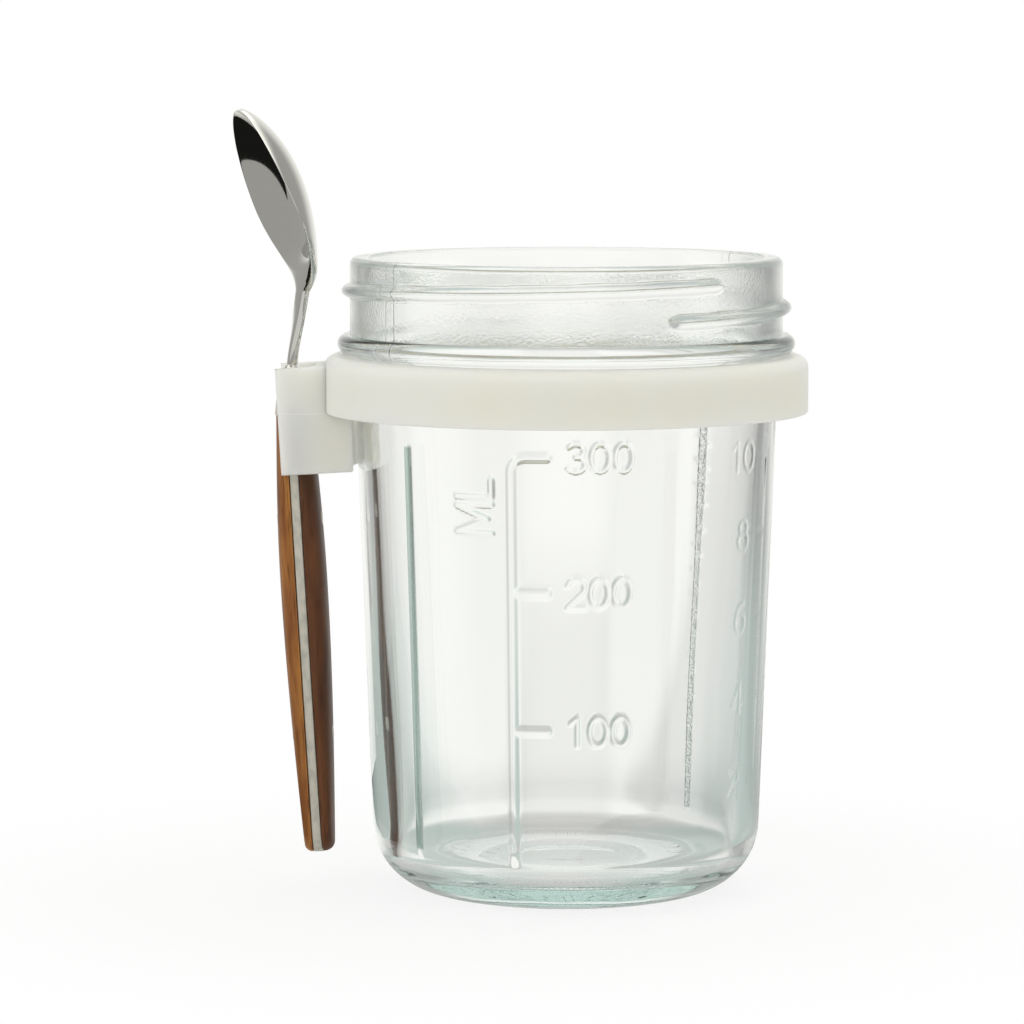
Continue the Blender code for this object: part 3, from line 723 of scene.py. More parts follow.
@dataclass
class GlassJar:
    """The jar, one piece of pressed glass with its thread, scales and ribs.

    A zone is where it starts and the step to keep up to the next zone.
    """

    axis_x: float
    height: float = 0.1230
    bead_top: float = 0.1082
    bead_bottom: float = 0.1044
    neck_radius: float = 0.0418
    mouth_radius: float = 0.0378
    bead_radius: float = 0.0442
    shoulder_radius: float = 0.0411
    base_radius: float = 0.0376
    heel_radius: float = 0.0134
    inner_heel_radius: float = 0.0039
    wall_swell: float = 0.0050
    swell_top: float = 0.098
    floor_height: float = 0.0060
    floor_dome: float = 0.0010
    rim_outer_round: float = 0.0013
    rim_inner_round: float = 0.0010
    standing_ring_width: float = 0.0030
    push_up: float = 0.0020
    floor_rows: int = 10
    lip_rows: int = 12
    heel_rows: int = 10
    unevenness: float = 0.00002
    uneven_waves: tuple[Wave, ...] = ((5, 40, 0.0), (9, -95, 1.3), (14, 25, 0.4))
    thread_start: float = 298.5
    thread_end: float = 675.0
    thread_start_z: float = 0.1122
    thread_pitch: float = 0.00645
    thread_height: float = 0.00165
    thread_half_width: float = 0.00140
    thread_run_out: float = 3.4
    rib_angles: Span = (223.5, 43.5)
    rib_ends: Span = (0.0122, 0.0880)
    rib_half_width: float = 0.0011
    rib_heights: Span = (0.00022, 0.00020)
    rib_wobbles: Span = (0.0, 0.00030)
    rib_waves: tuple[Wave, ...] = ((1150, 0.0, 1.0), (2630, 1.0, 1.0), (5170, 2.0, 0.8))
    scale_angle: float = 256.3
    scale_bottom: float = 0.0118
    hook_radius: float = 0.0026
    tick_length: float = 0.0063
    mark_half_width: float = 0.00115
    mark_height: float = 0.0006
    mark_heights: tuple[float, ...] = (0.0359, 0.0621, 0.0875)
    side_scale_angle: float = 343.0
    side_scale_bottom: float = 0.0190
    side_tick_length: float = 0.0036
    side_mark_heights: tuple[float, ...] = (0.0239, 0.0398, 0.0554, 0.0711, 0.0862)
    side_starts: float = 292.0
    side_ramp: float = 20.0
    side_relief_share: float = 0.16
    side_line_share: float = 0.05
    figure_angle: float = 271.3
    side_figure_angle: float = 326.0
    digit_angle: float = 4.5
    digit_pitches: Span = (0.78, 0.76)
    figure_height: float = 0.0053
    figure_half_width: float = 0.00062
    figure_relief: float = 0.00044
    letters: Writing = Writing("ML", 250.8, 0.0731, 0.0067, 0.0068, upright=False)
    letter_boldness: float = 1.35
    thread_step: float = 0.00030
    neck_zone: Span = (0.1108, 0.00065)
    side_step: float = 0.0020
    side_zones: tuple[Span, ...] = (
        (0.0915, 0.00036), (0.0700, 0.00060), (0.0655, 0.00036), (0.0575, 0.00060),
        (0.0388, 0.00036), (0.0312, 0.00060), (0.0200, 0.0008),
    )
    angle_zones: tuple[Span, ...] = (
        (0.0, 2.0), (41.0, 0.25), (46.0, 2.0), (221.2, 0.22), (225.8, 1.6), (238.0, 0.36),
        (290.5, 1.0), (316.0, 0.36), (345.5, 2.0), (360.0, 0.0),
    )

    def taper(self) -> float:
        """Angle from the vertical at which the side leans outwards."""
        rise = self.bead_bottom - self.heel_radius
        return math.atan2(self.shoulder_radius - self.base_radius, rise)

    def side_radius(self, z: Array) -> Array:
        """Outer radius on the straight side, which shrinks evenly down from the bead."""
        return self.shoulder_radius - (self.bead_bottom - z) * math.tan(self.taper())

    @staticmethod
    def steps(zones: Sequence[Span]) -> Array:
        """Places from zone to zone, each a start and the step to keep after it."""
        parts = []
        for (start, step), (end, _) in zip(zones[:-1], zones[1:]):
            count = max(1, round(abs(end - start) / step))
            parts.append(np.linspace(start, end, count + 1)[:-1])
        return np.concatenate([*parts, [zones[-1][0]]])

    def inside(self) -> list[Array]:
        """The glass in section (r, z), from the inner floor over the rim to the neck."""
        inner_r = self.mouth_radius - self.wall_swell - self.inner_heel_radius
        heel_z = self.floor_height + self.inner_heel_radius
        lean = math.degrees(math.atan2(self.wall_swell, self.swell_top - heel_z))
        floor = np.linspace(0.01, 1.0, 9)[:-1]
        dome = self.floor_height + self.floor_dome * np.cos(floor * QUARTER)
        heel = arc((inner_r, heel_z), self.inner_heel_radius, -90, -lean, 14)
        swell = (self.mouth_radius, self.swell_top)
        lip = (self.mouth_radius, self.height - self.rim_inner_round)
        lip_centre = (lip[0] + self.rim_inner_round, lip[1])
        edge = (self.neck_radius - self.rim_outer_round, self.height - self.rim_outer_round)
        return [
            np.stack([inner_r * floor, dome], -1),
            heel,
            line(heel[-1], swell, 24),
            line(swell, lip, 8),
            arc(lip_centre, self.rim_inner_round, 180, 90, 6),
            arc(edge, self.rim_outer_round, 90, 0, 8),
        ]

    def outside(self) -> list[Array]:
        """The glass in section (r, z), from the neck over the bead and side to the heel."""
        nose = (self.bead_top - self.bead_bottom) / 2
        edge_z = self.height - self.rim_outer_round
        neck_z = self.steps(((edge_z, self.thread_step), self.neck_zone, (self.bead_top, 0.0)))[1:]
        side_top, side_end = (self.bead_bottom, self.side_step), (self.heel_radius, 0.0)
        side_z = self.steps((side_top, *self.side_zones, side_end))
        heel = (self.base_radius - self.heel_radius, self.heel_radius)
        return [
            np.stack([np.full(neck_z.shape, self.neck_radius), neck_z], -1),
            arc((self.bead_radius - nose, self.bead_top - nose), nose, 90, -90, 15),
            np.stack([self.side_radius(side_z), side_z], -1),
            arc(heel, self.heel_radius, -math.degrees(self.taper()), -90, 18)[1:],
        ]

    def profile(self) -> tuple[Array, slice, slice]:
        """The whole glass in section, down to the push-up.

        Returns:
            The points (r, z), the rows that take relief and the rows of the
            inner wall.
        """
        inside, outside = np.vstack(self.inside()), np.vstack(self.outside())
        ring_r = self.base_radius - self.heel_radius - self.standing_ring_width
        rise = np.linspace(1.0, 0.01, 9)
        under = np.stack([ring_r * rise, self.push_up * np.cos(rise * QUARTER) ** 2], -1)
        first = len(inside)
        rows = np.vstack([inside, outside, under])
        relief = slice(first, first + len(outside) - self.heel_rows)
        return rows, relief, slice(self.floor_rows, first - self.lip_rows)

    def thread(self, angle: Array, z: Array) -> Array:
        """Height of the thread: a rounded ridge along a rising line.

        The ridge's middle rises evenly with the angle. Across it, its height is
        (1 - u^2)^0.75, with u the distance from the middle over the half width.
        Both shrink as a quarter circle over the last degrees at each end.
        """
        relief = np.zeros(np.broadcast(angle, z).shape)
        for turn in (0.0, 360.0):
            along = angle + turn
            ends = np.minimum(along - self.thread_start, self.thread_end - along)
            share = np.clip(ends / self.thread_run_out, 0.0, 1.0)
            size = np.sqrt(1.0 - (1.0 - share) ** 2)
            middle = self.thread_start_z + self.thread_pitch * (along - self.thread_start) / 360.0
            across = (z - middle) / (self.thread_half_width * np.maximum(size, 0.02))
            ridge = np.clip(1.0 - across**2, 0.0, 1.0) ** 0.75
            height = self.thread_height * size**0.6 * ridge
            relief = np.maximum(relief, np.where(ends > 0, height, 0.0))
        return relief

    def marks(self) -> list[Array]:
        """Lines of the scales, as paths (s, z) on the unrolled side."""
        s = self.base_radius * math.radians(self.scale_angle)
        top, bend, tick = self.mark_heights[-1], self.hook_radius, self.tick_length
        hook = curve((s + bend, top - bend), (bend, bend), 180, 90)
        paths = [np.vstack([[(s, self.scale_bottom)], hook, [(s + tick, top)]])]
        paths += [np.array([(s, z), (s + tick, z)]) for z in self.mark_heights[:-1]]
        s = self.base_radius * math.radians(self.side_scale_angle)
        paths.append(np.array([(s, self.side_scale_bottom), (s, self.side_mark_heights[-1])]))
        tick = self.side_tick_length
        return paths + [np.array([(s, z), (s - tick, z)]) for z in self.side_mark_heights]

    def writing(self) -> list[Writing]:
        """Plain figures beside the marks, and the unit of the scale in front."""
        size = self.figure_height
        pitch, side_pitch = (size * share for share in self.digit_pitches)
        rows = [self.letters]
        for text, z in zip(("100", "200", "300"), self.mark_heights):
            rows.append(Writing(text, self.figure_angle, z - size / 2, size, pitch))
        for text, z in zip(("2", "4", "6", "8", "10"), self.side_mark_heights):
            angle = self.side_figure_angle - self.digit_angle * (len(text) - 1)
            rows.append(Writing(text, angle, z - size / 2, size, side_pitch))
        return rows

    def relief(self, angle: Array, z: Array) -> Array:
        """How far the outer surface stands out of its plain profile.

        A line is a soft ridge, h (1 - (d / w)^2)^1.4 within its half width. The
        ones at the right stand out less than those in front.

        Args:
            angle: Angle of each grid point in degrees.
            z: Height of each grid point.

        Returns:
            The greatest of the thread, the ribs, the marks and the figures.
        """
        s = self.base_radius * np.radians(angle)
        best = self.thread(angle, z)

        def emboss(path: Array, half: float, height: float, share: Array, moved: Array) -> None:
            """Raise the surface along a path."""
            distance = distance_to_path(s + moved, z, path)
            ridge = height * np.clip(1.0 - (distance / half) ** 2, 0.0, 1.0) ** 1.4
            np.maximum(best, share * ridge, out=best)

        beside = ease((angle - self.side_starts) / self.side_ramp)
        lines, figures = (
            1.0 - (1.0 - share) * beside for share in (self.side_line_share, self.side_relief_share)
        )
        wave = sum(size * np.sin(rate * z + phase) for rate, phase, size in self.rib_waves)
        for rib, wobble, height in zip(self.rib_angles, self.rib_wobbles, self.rib_heights):
            spot = self.base_radius * math.radians(rib)
            path = np.array([(spot, end) for end in self.rib_ends])
            emboss(path, self.rib_half_width, height, 1.0, wobble * wave)
        for path in self.marks():
            emboss(path, self.mark_half_width, self.mark_height, lines, 0.0 * z)
        for row in self.writing():
            bold = 1.0 if row.upright else self.letter_boldness
            half, height = self.figure_half_width * bold, self.figure_relief * bold
            for path in row.paths(self.base_radius):
                emboss(path, half, height, figures, 0.0 * z)
        return best

    def build(self) -> None:
        """Make the jar: radius(angle, row) = profile + relief, turned about the axis.

        The inner wall's thickness also varies a little, by a sum of three slow
        sines of angle and height.
        """
        profile, outer, inner = self.profile()
        angle = self.steps(self.angle_zones)[:-1][None, :]
        r, z = profile[:, :1], profile[:, 1:]
        radius = np.repeat(r, angle.shape[1], axis=1)
        radius[outer] += self.relief(angle, z[outer])
        turn, wall = np.radians(angle), z[inner]
        waves = (np.sin(a * turn + b * wall + phase) for a, b, phase in self.uneven_waves)
        radius[inner] += self.unevenness * sum(waves)
        finish = GlassFinish().material(self.axis_x)
        piece = Piece("jar_glass", Body.JAR, "clear_glass", "glass_jar", 88.0)
        piece.add(spin(self.axis_x, radius, z, angle), finish)


# ---- the silicone band ----


@dataclass
class SiliconeBand:
    """The band under the bead, and the C-shaped clip that holds the spoon."""

    jar: GlassJar
    hang: SpoonFrame
    top: float = 0.1041
    bottom: float = 0.0931
    outer_radius: float = 0.0468
    glass_gap: float = 0.00012
    top_round: float = 0.0024
    edge_round: float = 0.0004
    clip_height: float = 0.0206
    clip_wall: float = 0.0019
    clip_edge_round: float = 0.0006
    clip_root: float = -0.0105
    lip_share: float = 0.01
    lip_round_gap: float = 0.12
    glass_relief: float = 0.0014
    seat: float = 0.0013
    slot_half_width: float = 0.0069
    slot_front_rise: float = 0.0033
    slot_back_rise: float = 0.0037
    power: float = 2.5

    def ring_points(self) -> Array:
        """The ring: its rounded section turned about the jar's axis."""
        low, high = (self.jar.side_radius(z) + self.glass_gap for z in (self.bottom, self.top))
        outer, big, small = self.outer_radius, self.top_round, self.edge_round
        bottom, foot, head = self.bottom, self.bottom + small, self.top - small
        shoulder = self.top - big
        section = np.vstack(
            [
                line((low, foot), (high, head), 6),
                arc((high + small, head), small, 180, 90, 4),
                arc((outer - big, shoulder), big, 90, 0, 12),
                line((outer, shoulder), (outer, bottom), 6),
                arc((outer - small, foot), small, 0, -90, 5),
                line((outer - small, bottom), (low, bottom), 4),
                arc((low + small, foot), small, -90, -180, 4),
            ]
        )
        angle = np.arange(0.0, 360.0, 1.25)[None, :]
        return spin(self.jar.axis_x, section[:, :1], section[:, 1:], angle)

    def crown(self, side: int, half: float, rise: float, angle: Array) -> Array:
        """Points (out, across) of a crown that stands on a scale's seat."""
        out, across = oval(half, rise, angle, self.power)
        return np.stack([side * (self.seat + out), across], -1)

    def to_glass(self, across: Array, w: Array) -> Array:
        """How far towards the jar the clip's root reaches, at a place of its back.

        The back lies on the circle x = -sqrt((R(z) + relief)^2 - across^2)
        about the jar's axis. It is found by trying the height that the last
        reach gave, five times.

        Args:
            across: Distance from the clip's middle plane.
            w: Height along the handle from the clip's middle.

        Returns:
            The reach along the clip's own X.
        """
        cos, sin = math.cos(self.hang.lean), math.sin(self.hang.lean)
        reach = np.zeros(np.broadcast(across, w).shape)
        for _ in range(5):
            z = self.hang.clip_middle + reach * sin + w * cos
            radius = self.jar.side_radius(z) + self.glass_relief
            x = -np.sqrt(radius**2 - across**2)
            reach = (x + self.hang.clip_reach + w * sin) / cos
        return reach

    @staticmethod
    def along(path: Array, shares: Array) -> Array:
        """Points of a path at shares of its length."""
        steps = np.hypot(*np.diff(path, axis=0).T)
        length = np.concatenate([[0.0], np.cumsum(steps)]) / steps.sum()
        return np.stack([np.interp(shares, length, path[:, i]) for i in range(2)], -1)

    def walls(self) -> tuple[Array, Array]:
        """Points (out, across) along the C, on the slot's wall and on the outer wall.

        Past the middle of the C, the same points follow mirrored. The two lips
        end in half circles.
        """
        half = self.slot_half_width + self.clip_wall
        front = self.slot_front_rise + self.clip_wall
        lip, outer_lip = (
            math.asin(share ** (self.power / 2))
            for share in (self.lip_share, self.slot_front_rise * self.lip_share / front)
        )
        near = np.linspace(lip, 0, 24)
        back = np.linspace(0, QUARTER, 60)
        inner_path = [
            self.crown(1, self.slot_half_width, self.slot_front_rise, near),
            self.crown(-1, self.slot_half_width, self.slot_back_rise, back),
        ]
        root = (self.clip_root, half)
        outer_path = [
            self.crown(1, half, front, np.linspace(outer_lip, 0, 24)),
            line((self.seat, half), root, 12),
            [root, (self.clip_root, 0.0)],
        ]
        u = np.linspace(0.0, 1.0, 58)
        slot, outer = (self.along(np.vstack(path), u) for path in (inner_path, outer_path))
        middle, cap = (slot[0] + outer[0]) / 2, (outer[0] - slot[0]) / 2
        ahead = np.array([-cap[1], cap[0]])
        ahead *= -1.0 if ahead[0] < 0 else 1.0
        turn = np.linspace(QUARTER - self.lip_round_gap, 0.0, 8)[:-1, None]
        slot = np.vstack([middle + ahead * np.sin(turn) - cap * np.cos(turn), slot])
        outer = np.vstack([middle + ahead * np.sin(turn) + cap * np.cos(turn), outer])
        slot, outer = (np.vstack([wall, wall[-2::-1] * (1, -1)]) for wall in (slot, outer))
        return slot, outer

    def clip_points(self) -> Array:
        """The clip: a rounded oblong section carried along a C.

        At each place along the C the section runs from the slot's wall to the
        outer wall, with its four corners rounded. Each of its points has a
        height w, the wall that it starts from (base 0 or 1) and a push from
        that wall.
        """
        slot, outer = self.walls()
        top, soft = self.clip_height / 2, self.clip_edge_round
        bend = np.linspace(0.0, QUARTER, 5)
        inset = soft * (1.0 - np.cos(bend))
        rise = top - soft + soft * np.sin(bend)
        wall = np.linspace(-top + soft, top - soft, 9)[1:-1]
        flat = np.linspace(0.0, 1.0, 6)[1:-1]
        level, still, none = top + 0 * flat, 0 * wall, 0 * rise
        w = [wall, rise, level, rise[::-1], wall[::-1], -rise, -level, -rise[::-1]]
        base = [still, none, flat, 1 + none, 1 + still, 1 + none, flat[::-1], none]
        push = [still, inset, 0 * flat, -inset[::-1], still, -inset, 0 * flat, inset[::-1]]
        w, base, push = (np.concatenate(part)[None, :] for part in (w, base, push))
        reach = self.to_glass(outer[:, 1:], w)
        deep = np.clip((outer[:, :1] + self.seat) / (self.clip_root + self.seat), 0.0, 1.0)
        outer_out = np.where(deep > 0, -self.seat - deep * (reach - self.seat), outer[:, :1])
        thick = np.hypot(outer_out - slot[:, :1], outer[:, 1:] - slot[:, 1:])
        share = base + np.clip(push / thick, -0.5, 0.5)
        out = slot[:, :1] * (1 - share) + outer_out * share
        across = slot[:, 1:] * (1 - share) + outer[:, 1:] * share
        local = np.stack([-out, across, w + 0 * out], -1)
        x = self.jar.axis_x - self.hang.clip_reach
        return self.hang.turned(local, x, self.hang.clip_middle)

    def build(self) -> None:
        """Make the ring and its clip."""
        finish = SiliconeFinish().material()
        slot, node = "white_silicone", "silicone_band"
        ring = Piece("band_ring", Body.BAND, slot, node, 35.0, loop_rows=True)
        ring.add(self.ring_points(), finish)
        Piece("spoon_clip", Body.BAND, slot, node, 50.0).add(self.clip_points(), finish)


# ---- the spoon ----


@dataclass
class Handle:
    """Sizes of the wooden handle along its length, from its end to the bolster."""

    length: float = 0.0853
    widths: tuple[float, float, float] = (0.0114, 0.0132, 0.0118)
    tang_thickness: float = 0.0020
    tang_overhang: float = 0.0003
    outer_rises: tuple[float, float, float] = (0.0014, 0.0030, 0.0018)
    inner_rises: tuple[float, float, float] = (0.0017, 0.0034, 0.0023)
    end_round: float = 0.0046
    scale_end_round: float = 0.0012
    fullest_share: float = 0.62
    gap: float = 0.0003
    wood_power: float = 2.5
    pin_radius: float = 0.0016
    pin_round: float = 0.00012
    pin_dome: float = 0.00005
    pin_proud: float = 0.00002
    pin_shares: Span = (0.27, 0.76)

    def swell(self, p: Array, sizes: Sequence[float]) -> Array:
        """A size along the handle: a sine from end to fullest, then a cosine to the top."""
        end, middle, top = sizes
        share = np.clip(p / self.length, 0.0, 1.0)
        low = end + (middle - end) * np.sin(QUARTER * share / self.fullest_share)
        past = (share - self.fullest_share) / (1.0 - self.fullest_share)
        high = top + (middle - top) * np.cos(QUARTER * past)
        return np.where(share < self.fullest_share, low, high)

    def half_width(self, p: Array) -> Array:
        """Half the width, drawn in by a quarter circle at the end."""
        inward = np.maximum(0.0, 1.0 - (p + self.tang_overhang) / self.end_round)
        drawn = 1.0 - np.sqrt(np.clip(1.0 - inward**2, 0.0, 1.0))
        return self.swell(p, self.widths) / 2 - self.end_round * drawn

    def crown(self, p: Array, rises: Sequence[float]) -> Array:
        """Rise of a scale over its seat, rounded off at its end."""
        inward = np.maximum(0.0, 1.0 - p / self.scale_end_round)
        return self.swell(p, rises) - self.scale_end_round * (1.0 - np.sqrt(1.0 - inward**2))

    def stations(self, first: float, last: float) -> Array:
        """Distances from the end: close at the rounded end, then even."""
        bend = 1.0 - np.cos(np.linspace(0, QUARTER, 16))
        rounded = first + (self.end_round - first) * bend
        return np.concatenate([rounded, np.linspace(self.end_round, last, 60)[1:]])

    def seat(self) -> float:
        """Where a scale's flat lies out from the tang's middle."""
        return self.tang_thickness / 2 + self.gap

    def scale_points(self, side: Side, rises: Sequence[float], contact: float) -> Array:
        """One wooden scale: a crown on each section, and a flat that meets the tang.

        Args:
            side: Side of the tang.
            rises: Rise over the seat at the end, the fullest place and the top.
            contact: Distance of the flat from the tang's middle.

        Returns:
            The grid of points in the spoon's frame.
        """
        p = self.stations(0.0, self.length)[:, None]
        half, rise = self.half_width(p), self.crown(p, rises)
        out, across = oval(half, rise, np.linspace(0.0, math.pi, 61)[None, :], self.wood_power)
        flat = np.linspace(-1.0, 1.0, 9)[None, :]
        out = np.hstack([self.seat() + out, contact + 0 * half * flat])
        across = np.hstack([across, half * flat])
        return np.stack([side.value * out, across, p + 0 * out], -1)

    def pin_points(self, share: float) -> Array:
        """A rivet along the spoon's X, with slightly domed ends flush with the wood."""
        p = np.array(self.length * share)
        start = -self.seat() - float(self.crown(p, self.outer_rises)) - self.pin_proud
        end = self.seat() + float(self.crown(p, self.inner_rises)) + self.pin_proud
        soft, face = self.pin_round, self.pin_radius - self.pin_round
        bend = np.linspace(0.0, QUARTER, 5)
        shares = np.array([0.02, 0.35, 0.7])
        dome = -self.pin_dome * (1.0 - shares**2)
        inward = np.concatenate([dome, soft * (1.0 - np.cos(bend))])
        reach = np.concatenate([face * shares, face + soft * np.sin(bend)])
        x = np.concatenate([start + inward, (end - inward)[::-1]])[:, None]
        radius = np.concatenate([reach, reach[::-1]])[:, None]
        turn = np.linspace(0.0, 2 * math.pi, 49)[None, :-1]
        return np.stack([x + 0 * turn, radius * np.cos(turn), p + radius * np.sin(turn)], -1)


@dataclass
class Blade:
    """The steel: full tang, bolster, leaning neck and a turned bowl, one smooth bar."""

    handle: Handle
    bolster_length: float = 0.0095
    neck_length: float = 0.0143
    neck_width: float = 0.0044
    neck_thickness: float = 0.0021
    neck_lean: float = math.radians(13.0)
    neck_lean_share: float = 0.66
    bowl_length: float = 0.0376
    bowl_width: float = 0.0260
    bowl_depth: float = 0.0060
    bowl_gauge: float = 0.0012
    bowl_lean: float = math.radians(21.6)
    bowl_tip_lean: float = math.radians(16.5)
    bowl_turn: float = math.radians(22.8)
    bend_share: float = 0.16
    widest_share: float = 0.44
    steel_power: float = 3.0
    tang_power: float = 8.0
    point_power: float = 1.7
    heel_power: float = 1.1
    tip_power: float = 0.8
    shoulder_span: Span = (0.11, 0.24)

    def stem(self) -> float:
        """Length of the bolster and the neck."""
        return self.bolster_length + self.neck_length

    def lean(self, length: Array) -> Array:
        """Lean of the middle line at a length past the wood.

        The neck eases back to its lean, the bowl eases out over its first
        part, and then straightens evenly to its tip.
        """
        stem = self.stem()
        neck = -self.neck_lean * ease(length / (self.neck_lean_share * stem))
        share = (length - stem) / self.bowl_length
        bend = ease(share / self.bend_share)
        heel = -self.neck_lean + (self.neck_lean + self.bowl_lean) * bend
        past = (share - self.bend_share) / (1.0 - self.bend_share)
        bowl = self.bowl_lean + (self.bowl_tip_lean - self.bowl_lean) * past
        return np.where(length <= stem, neck, np.where(share < self.bend_share, heel, bowl))

    def path(self, lengths: Array) -> tuple[Array, Array]:
        """Middle line (out, up): the sums of step sin(lean) and step cos(lean)."""
        fine = np.linspace(0.0, lengths[-1], 1200)
        step = fine[1]
        lean = self.lean(fine[:-1] + step / 2)
        out, up = (
            np.concatenate([[0.0], np.cumsum(step * part)]) for part in (np.sin(lean), np.cos(lean))
        )
        up = self.handle.length + self.handle.gap + up
        return np.interp(lengths, fine, out), np.interp(lengths, fine, up)

    def bowl_half_width(self, share: Array) -> Array:
        """A sine flare to the widest place, then sqrt(1 - s^1.7) to the tip."""
        flare = np.sin(QUARTER * np.clip(share / self.widest_share, 0.0, 1.0))
        low = self.neck_width / 2 + (self.bowl_width - self.neck_width) / 2 * flare
        past = np.clip((share - self.widest_share) / (1.0 - self.widest_share), 0.0, 1.0)
        high = self.bowl_width / 2 * np.sqrt(1 - past**self.point_power)
        return np.where(share < self.widest_share, low, high)

    def bowl_sag(self, share: Array) -> Array:
        """Depth of the bowl: s^1.1 (1 - s)^0.8, scaled so that its most is the depth."""
        deepest = self.heel_power / (self.heel_power + self.tip_power)
        most = deepest**self.heel_power * (1.0 - deepest) ** self.tip_power
        return self.bowl_depth * share**self.heel_power * (1.0 - share) ** self.tip_power / most

    def points(self) -> Array:
        """All sections of the steel, square to its middle line.

        A section is a rounded oval, whose rise is lowered by
        sag (1 - (across / half)^2). The hollow's side starts to sag later than
        the back, which leaves a shoulder at the neck. The section is set square
        to the middle line and turned about the handle's line. Each list below
        holds the tang, the bolster, the neck and the bowl.

        Returns:
            The grid of points in the spoon's frame.
        """
        handle = self.handle
        tang = handle.stations(-handle.tang_overhang, handle.length)
        bolster = np.linspace(0.0, 1.0, 28)
        neck = np.linspace(0.0, 1.0, 28)[1:-1]
        low = np.linspace(0.0, self.widest_share, 56)[:-1]
        tip = np.sin(np.radians(np.linspace(0.0, 87.0, 60)))
        bowl = np.concatenate([low, self.widest_share + (1.0 - self.widest_share) * tip])
        lengths = [
            self.bolster_length * bolster,
            self.bolster_length + self.neck_length * neck,
            self.stem() + self.bowl_length * bowl,
        ]
        lengths = np.concatenate(lengths)
        out, up = self.path(lengths)

        parts = (tang, bolster, neck, bowl)
        none = [0 * part for part in parts]
        full = np.sqrt(1.0 - bolster**2) * (1.0 - bolster / 2)
        neck_half, neck_thick = self.neck_width / 2, self.neck_thickness / 2
        depth = handle.seat() + (handle.outer_rises[2] + handle.inner_rises[2]) / 2
        bolster_half = neck_half + (handle.widths[2] - self.neck_width) / 2 * full
        bolster_thick = neck_thick + (depth - neck_thick) * full
        thinned = (self.bowl_gauge - self.neck_thickness) * ease(bowl / self.widest_share)
        gauge = self.neck_thickness + thinned
        powers = (self.tang_power, handle.wood_power, self.steel_power, self.steel_power)
        start, end = self.shoulder_span
        opened = ease((bowl - start) / (end - start))
        columns = (
            [0 * tang, out],
            [tang, up],
            [0 * tang, self.lean(lengths)],
            [handle.half_width(tang), bolster_half, neck_half + none[2],
             self.bowl_half_width(bowl)],
            [handle.tang_thickness / 2 + none[0], bolster_thick, neck_thick + none[2], gauge / 2],
            [power + part for power, part in zip(powers, none)],
            [*none[:3], self.bowl_sag(bowl)],
            [*none[:2], self.bowl_turn * ease(neck), self.bowl_turn + none[3]],
            [*(1.0 + part for part in none[:3]), opened],
        )
        out, up, lean, half, thick, power, sag, turn, open_share = (
            np.concatenate(column)[:, None] for column in columns
        )
        angle = np.linspace(0.0, 2 * math.pi, 97)[None, :-1]
        rise, across = oval(half, thick, angle, power)
        sag = sag * np.where(rise > 0, open_share, 1.0)
        rise = rise - sag * (1.0 - (across / half) ** 2)
        far = out + rise * np.cos(lean)
        turned_out = far * np.cos(turn) + across * np.sin(turn)
        turned_across = across * np.cos(turn) - far * np.sin(turn)
        return np.stack([-turned_out, turned_across, up - rise * np.sin(lean)], -1)


@dataclass
class Spoon:
    """The spoon that hangs in the clip: steel, two wooden scales and two rivets."""

    hang: SpoonFrame
    handle: Handle
    blade: Blade
    contact: float = 0.00102
    edge_round: float = 0.00022
    # The last number of each wood is the strength of its painted highlight beside the tang
    outer_wood: WoodFinish = WoodFinish(
        "outer_wood", (0.115, 0.030, 0.007), (0.300, 0.112, 0.026), (0.520, 0.235, 0.045),
        Side.OUTER, 0.16,
    )
    inner_wood: WoodFinish = WoodFinish(
        "inner_wood", (0.060, 0.020, 0.008), (0.120, 0.042, 0.014), (0.190, 0.072, 0.022),
        Side.INNER, 0.05,
    )
    rivet_steel: SteelFinish = SteelFinish(
        name="rivet_steel", colour=(0.42, 0.41, 0.39), ground_top=1.0, ground_roughness=0.36
    )

    def add_scale(self, piece: Piece, rises: Sequence[float], wood: WoodFinish) -> None:
        """Add one wooden scale, with its rises over the seat, and soften its edges."""
        points = self.handle.scale_points(wood.side, rises, self.contact)
        scale = piece.add(self.hang.hang(points), wood.material(self.hang))
        soften = scale.modifiers.new("soften", "BEVEL")
        soften.width = self.edge_round
        soften.segments = 3
        soften.limit_method = "ANGLE"
        soften.angle_limit = math.radians(50)

    def build(self) -> None:
        """Make the steel, the scales and the rivets."""
        hang, handle, body = self.hang, self.handle, Body.SPOON
        steel = SteelFinish().material(hang)
        blade = Piece("spoon_steel", body, "polished_steel", "spoon_blade", 38.0)
        blade.add(hang.hang(self.blade.points()), steel)
        outer = Piece("handle_outer", body, "outer_walnut", "outer_scale", 45.0)
        self.add_scale(outer, handle.outer_rises, self.outer_wood)
        inner = Piece("handle_inner", body, "inner_walnut", "inner_scale", 45.0)
        self.add_scale(inner, handle.inner_rises, self.inner_wood)
        finish = self.rivet_steel.material(hang)
        for name, node, share in zip(
            ("rivet_low", "rivet_high"), ("lower_pin", "upper_pin"), handle.pin_shares
        ):
            rivet = Piece(name, body, "pin_steel", node, 50.0)
            rivet.add(hang.hang(handle.pin_points(share)), finish)


# ---- the studio ----


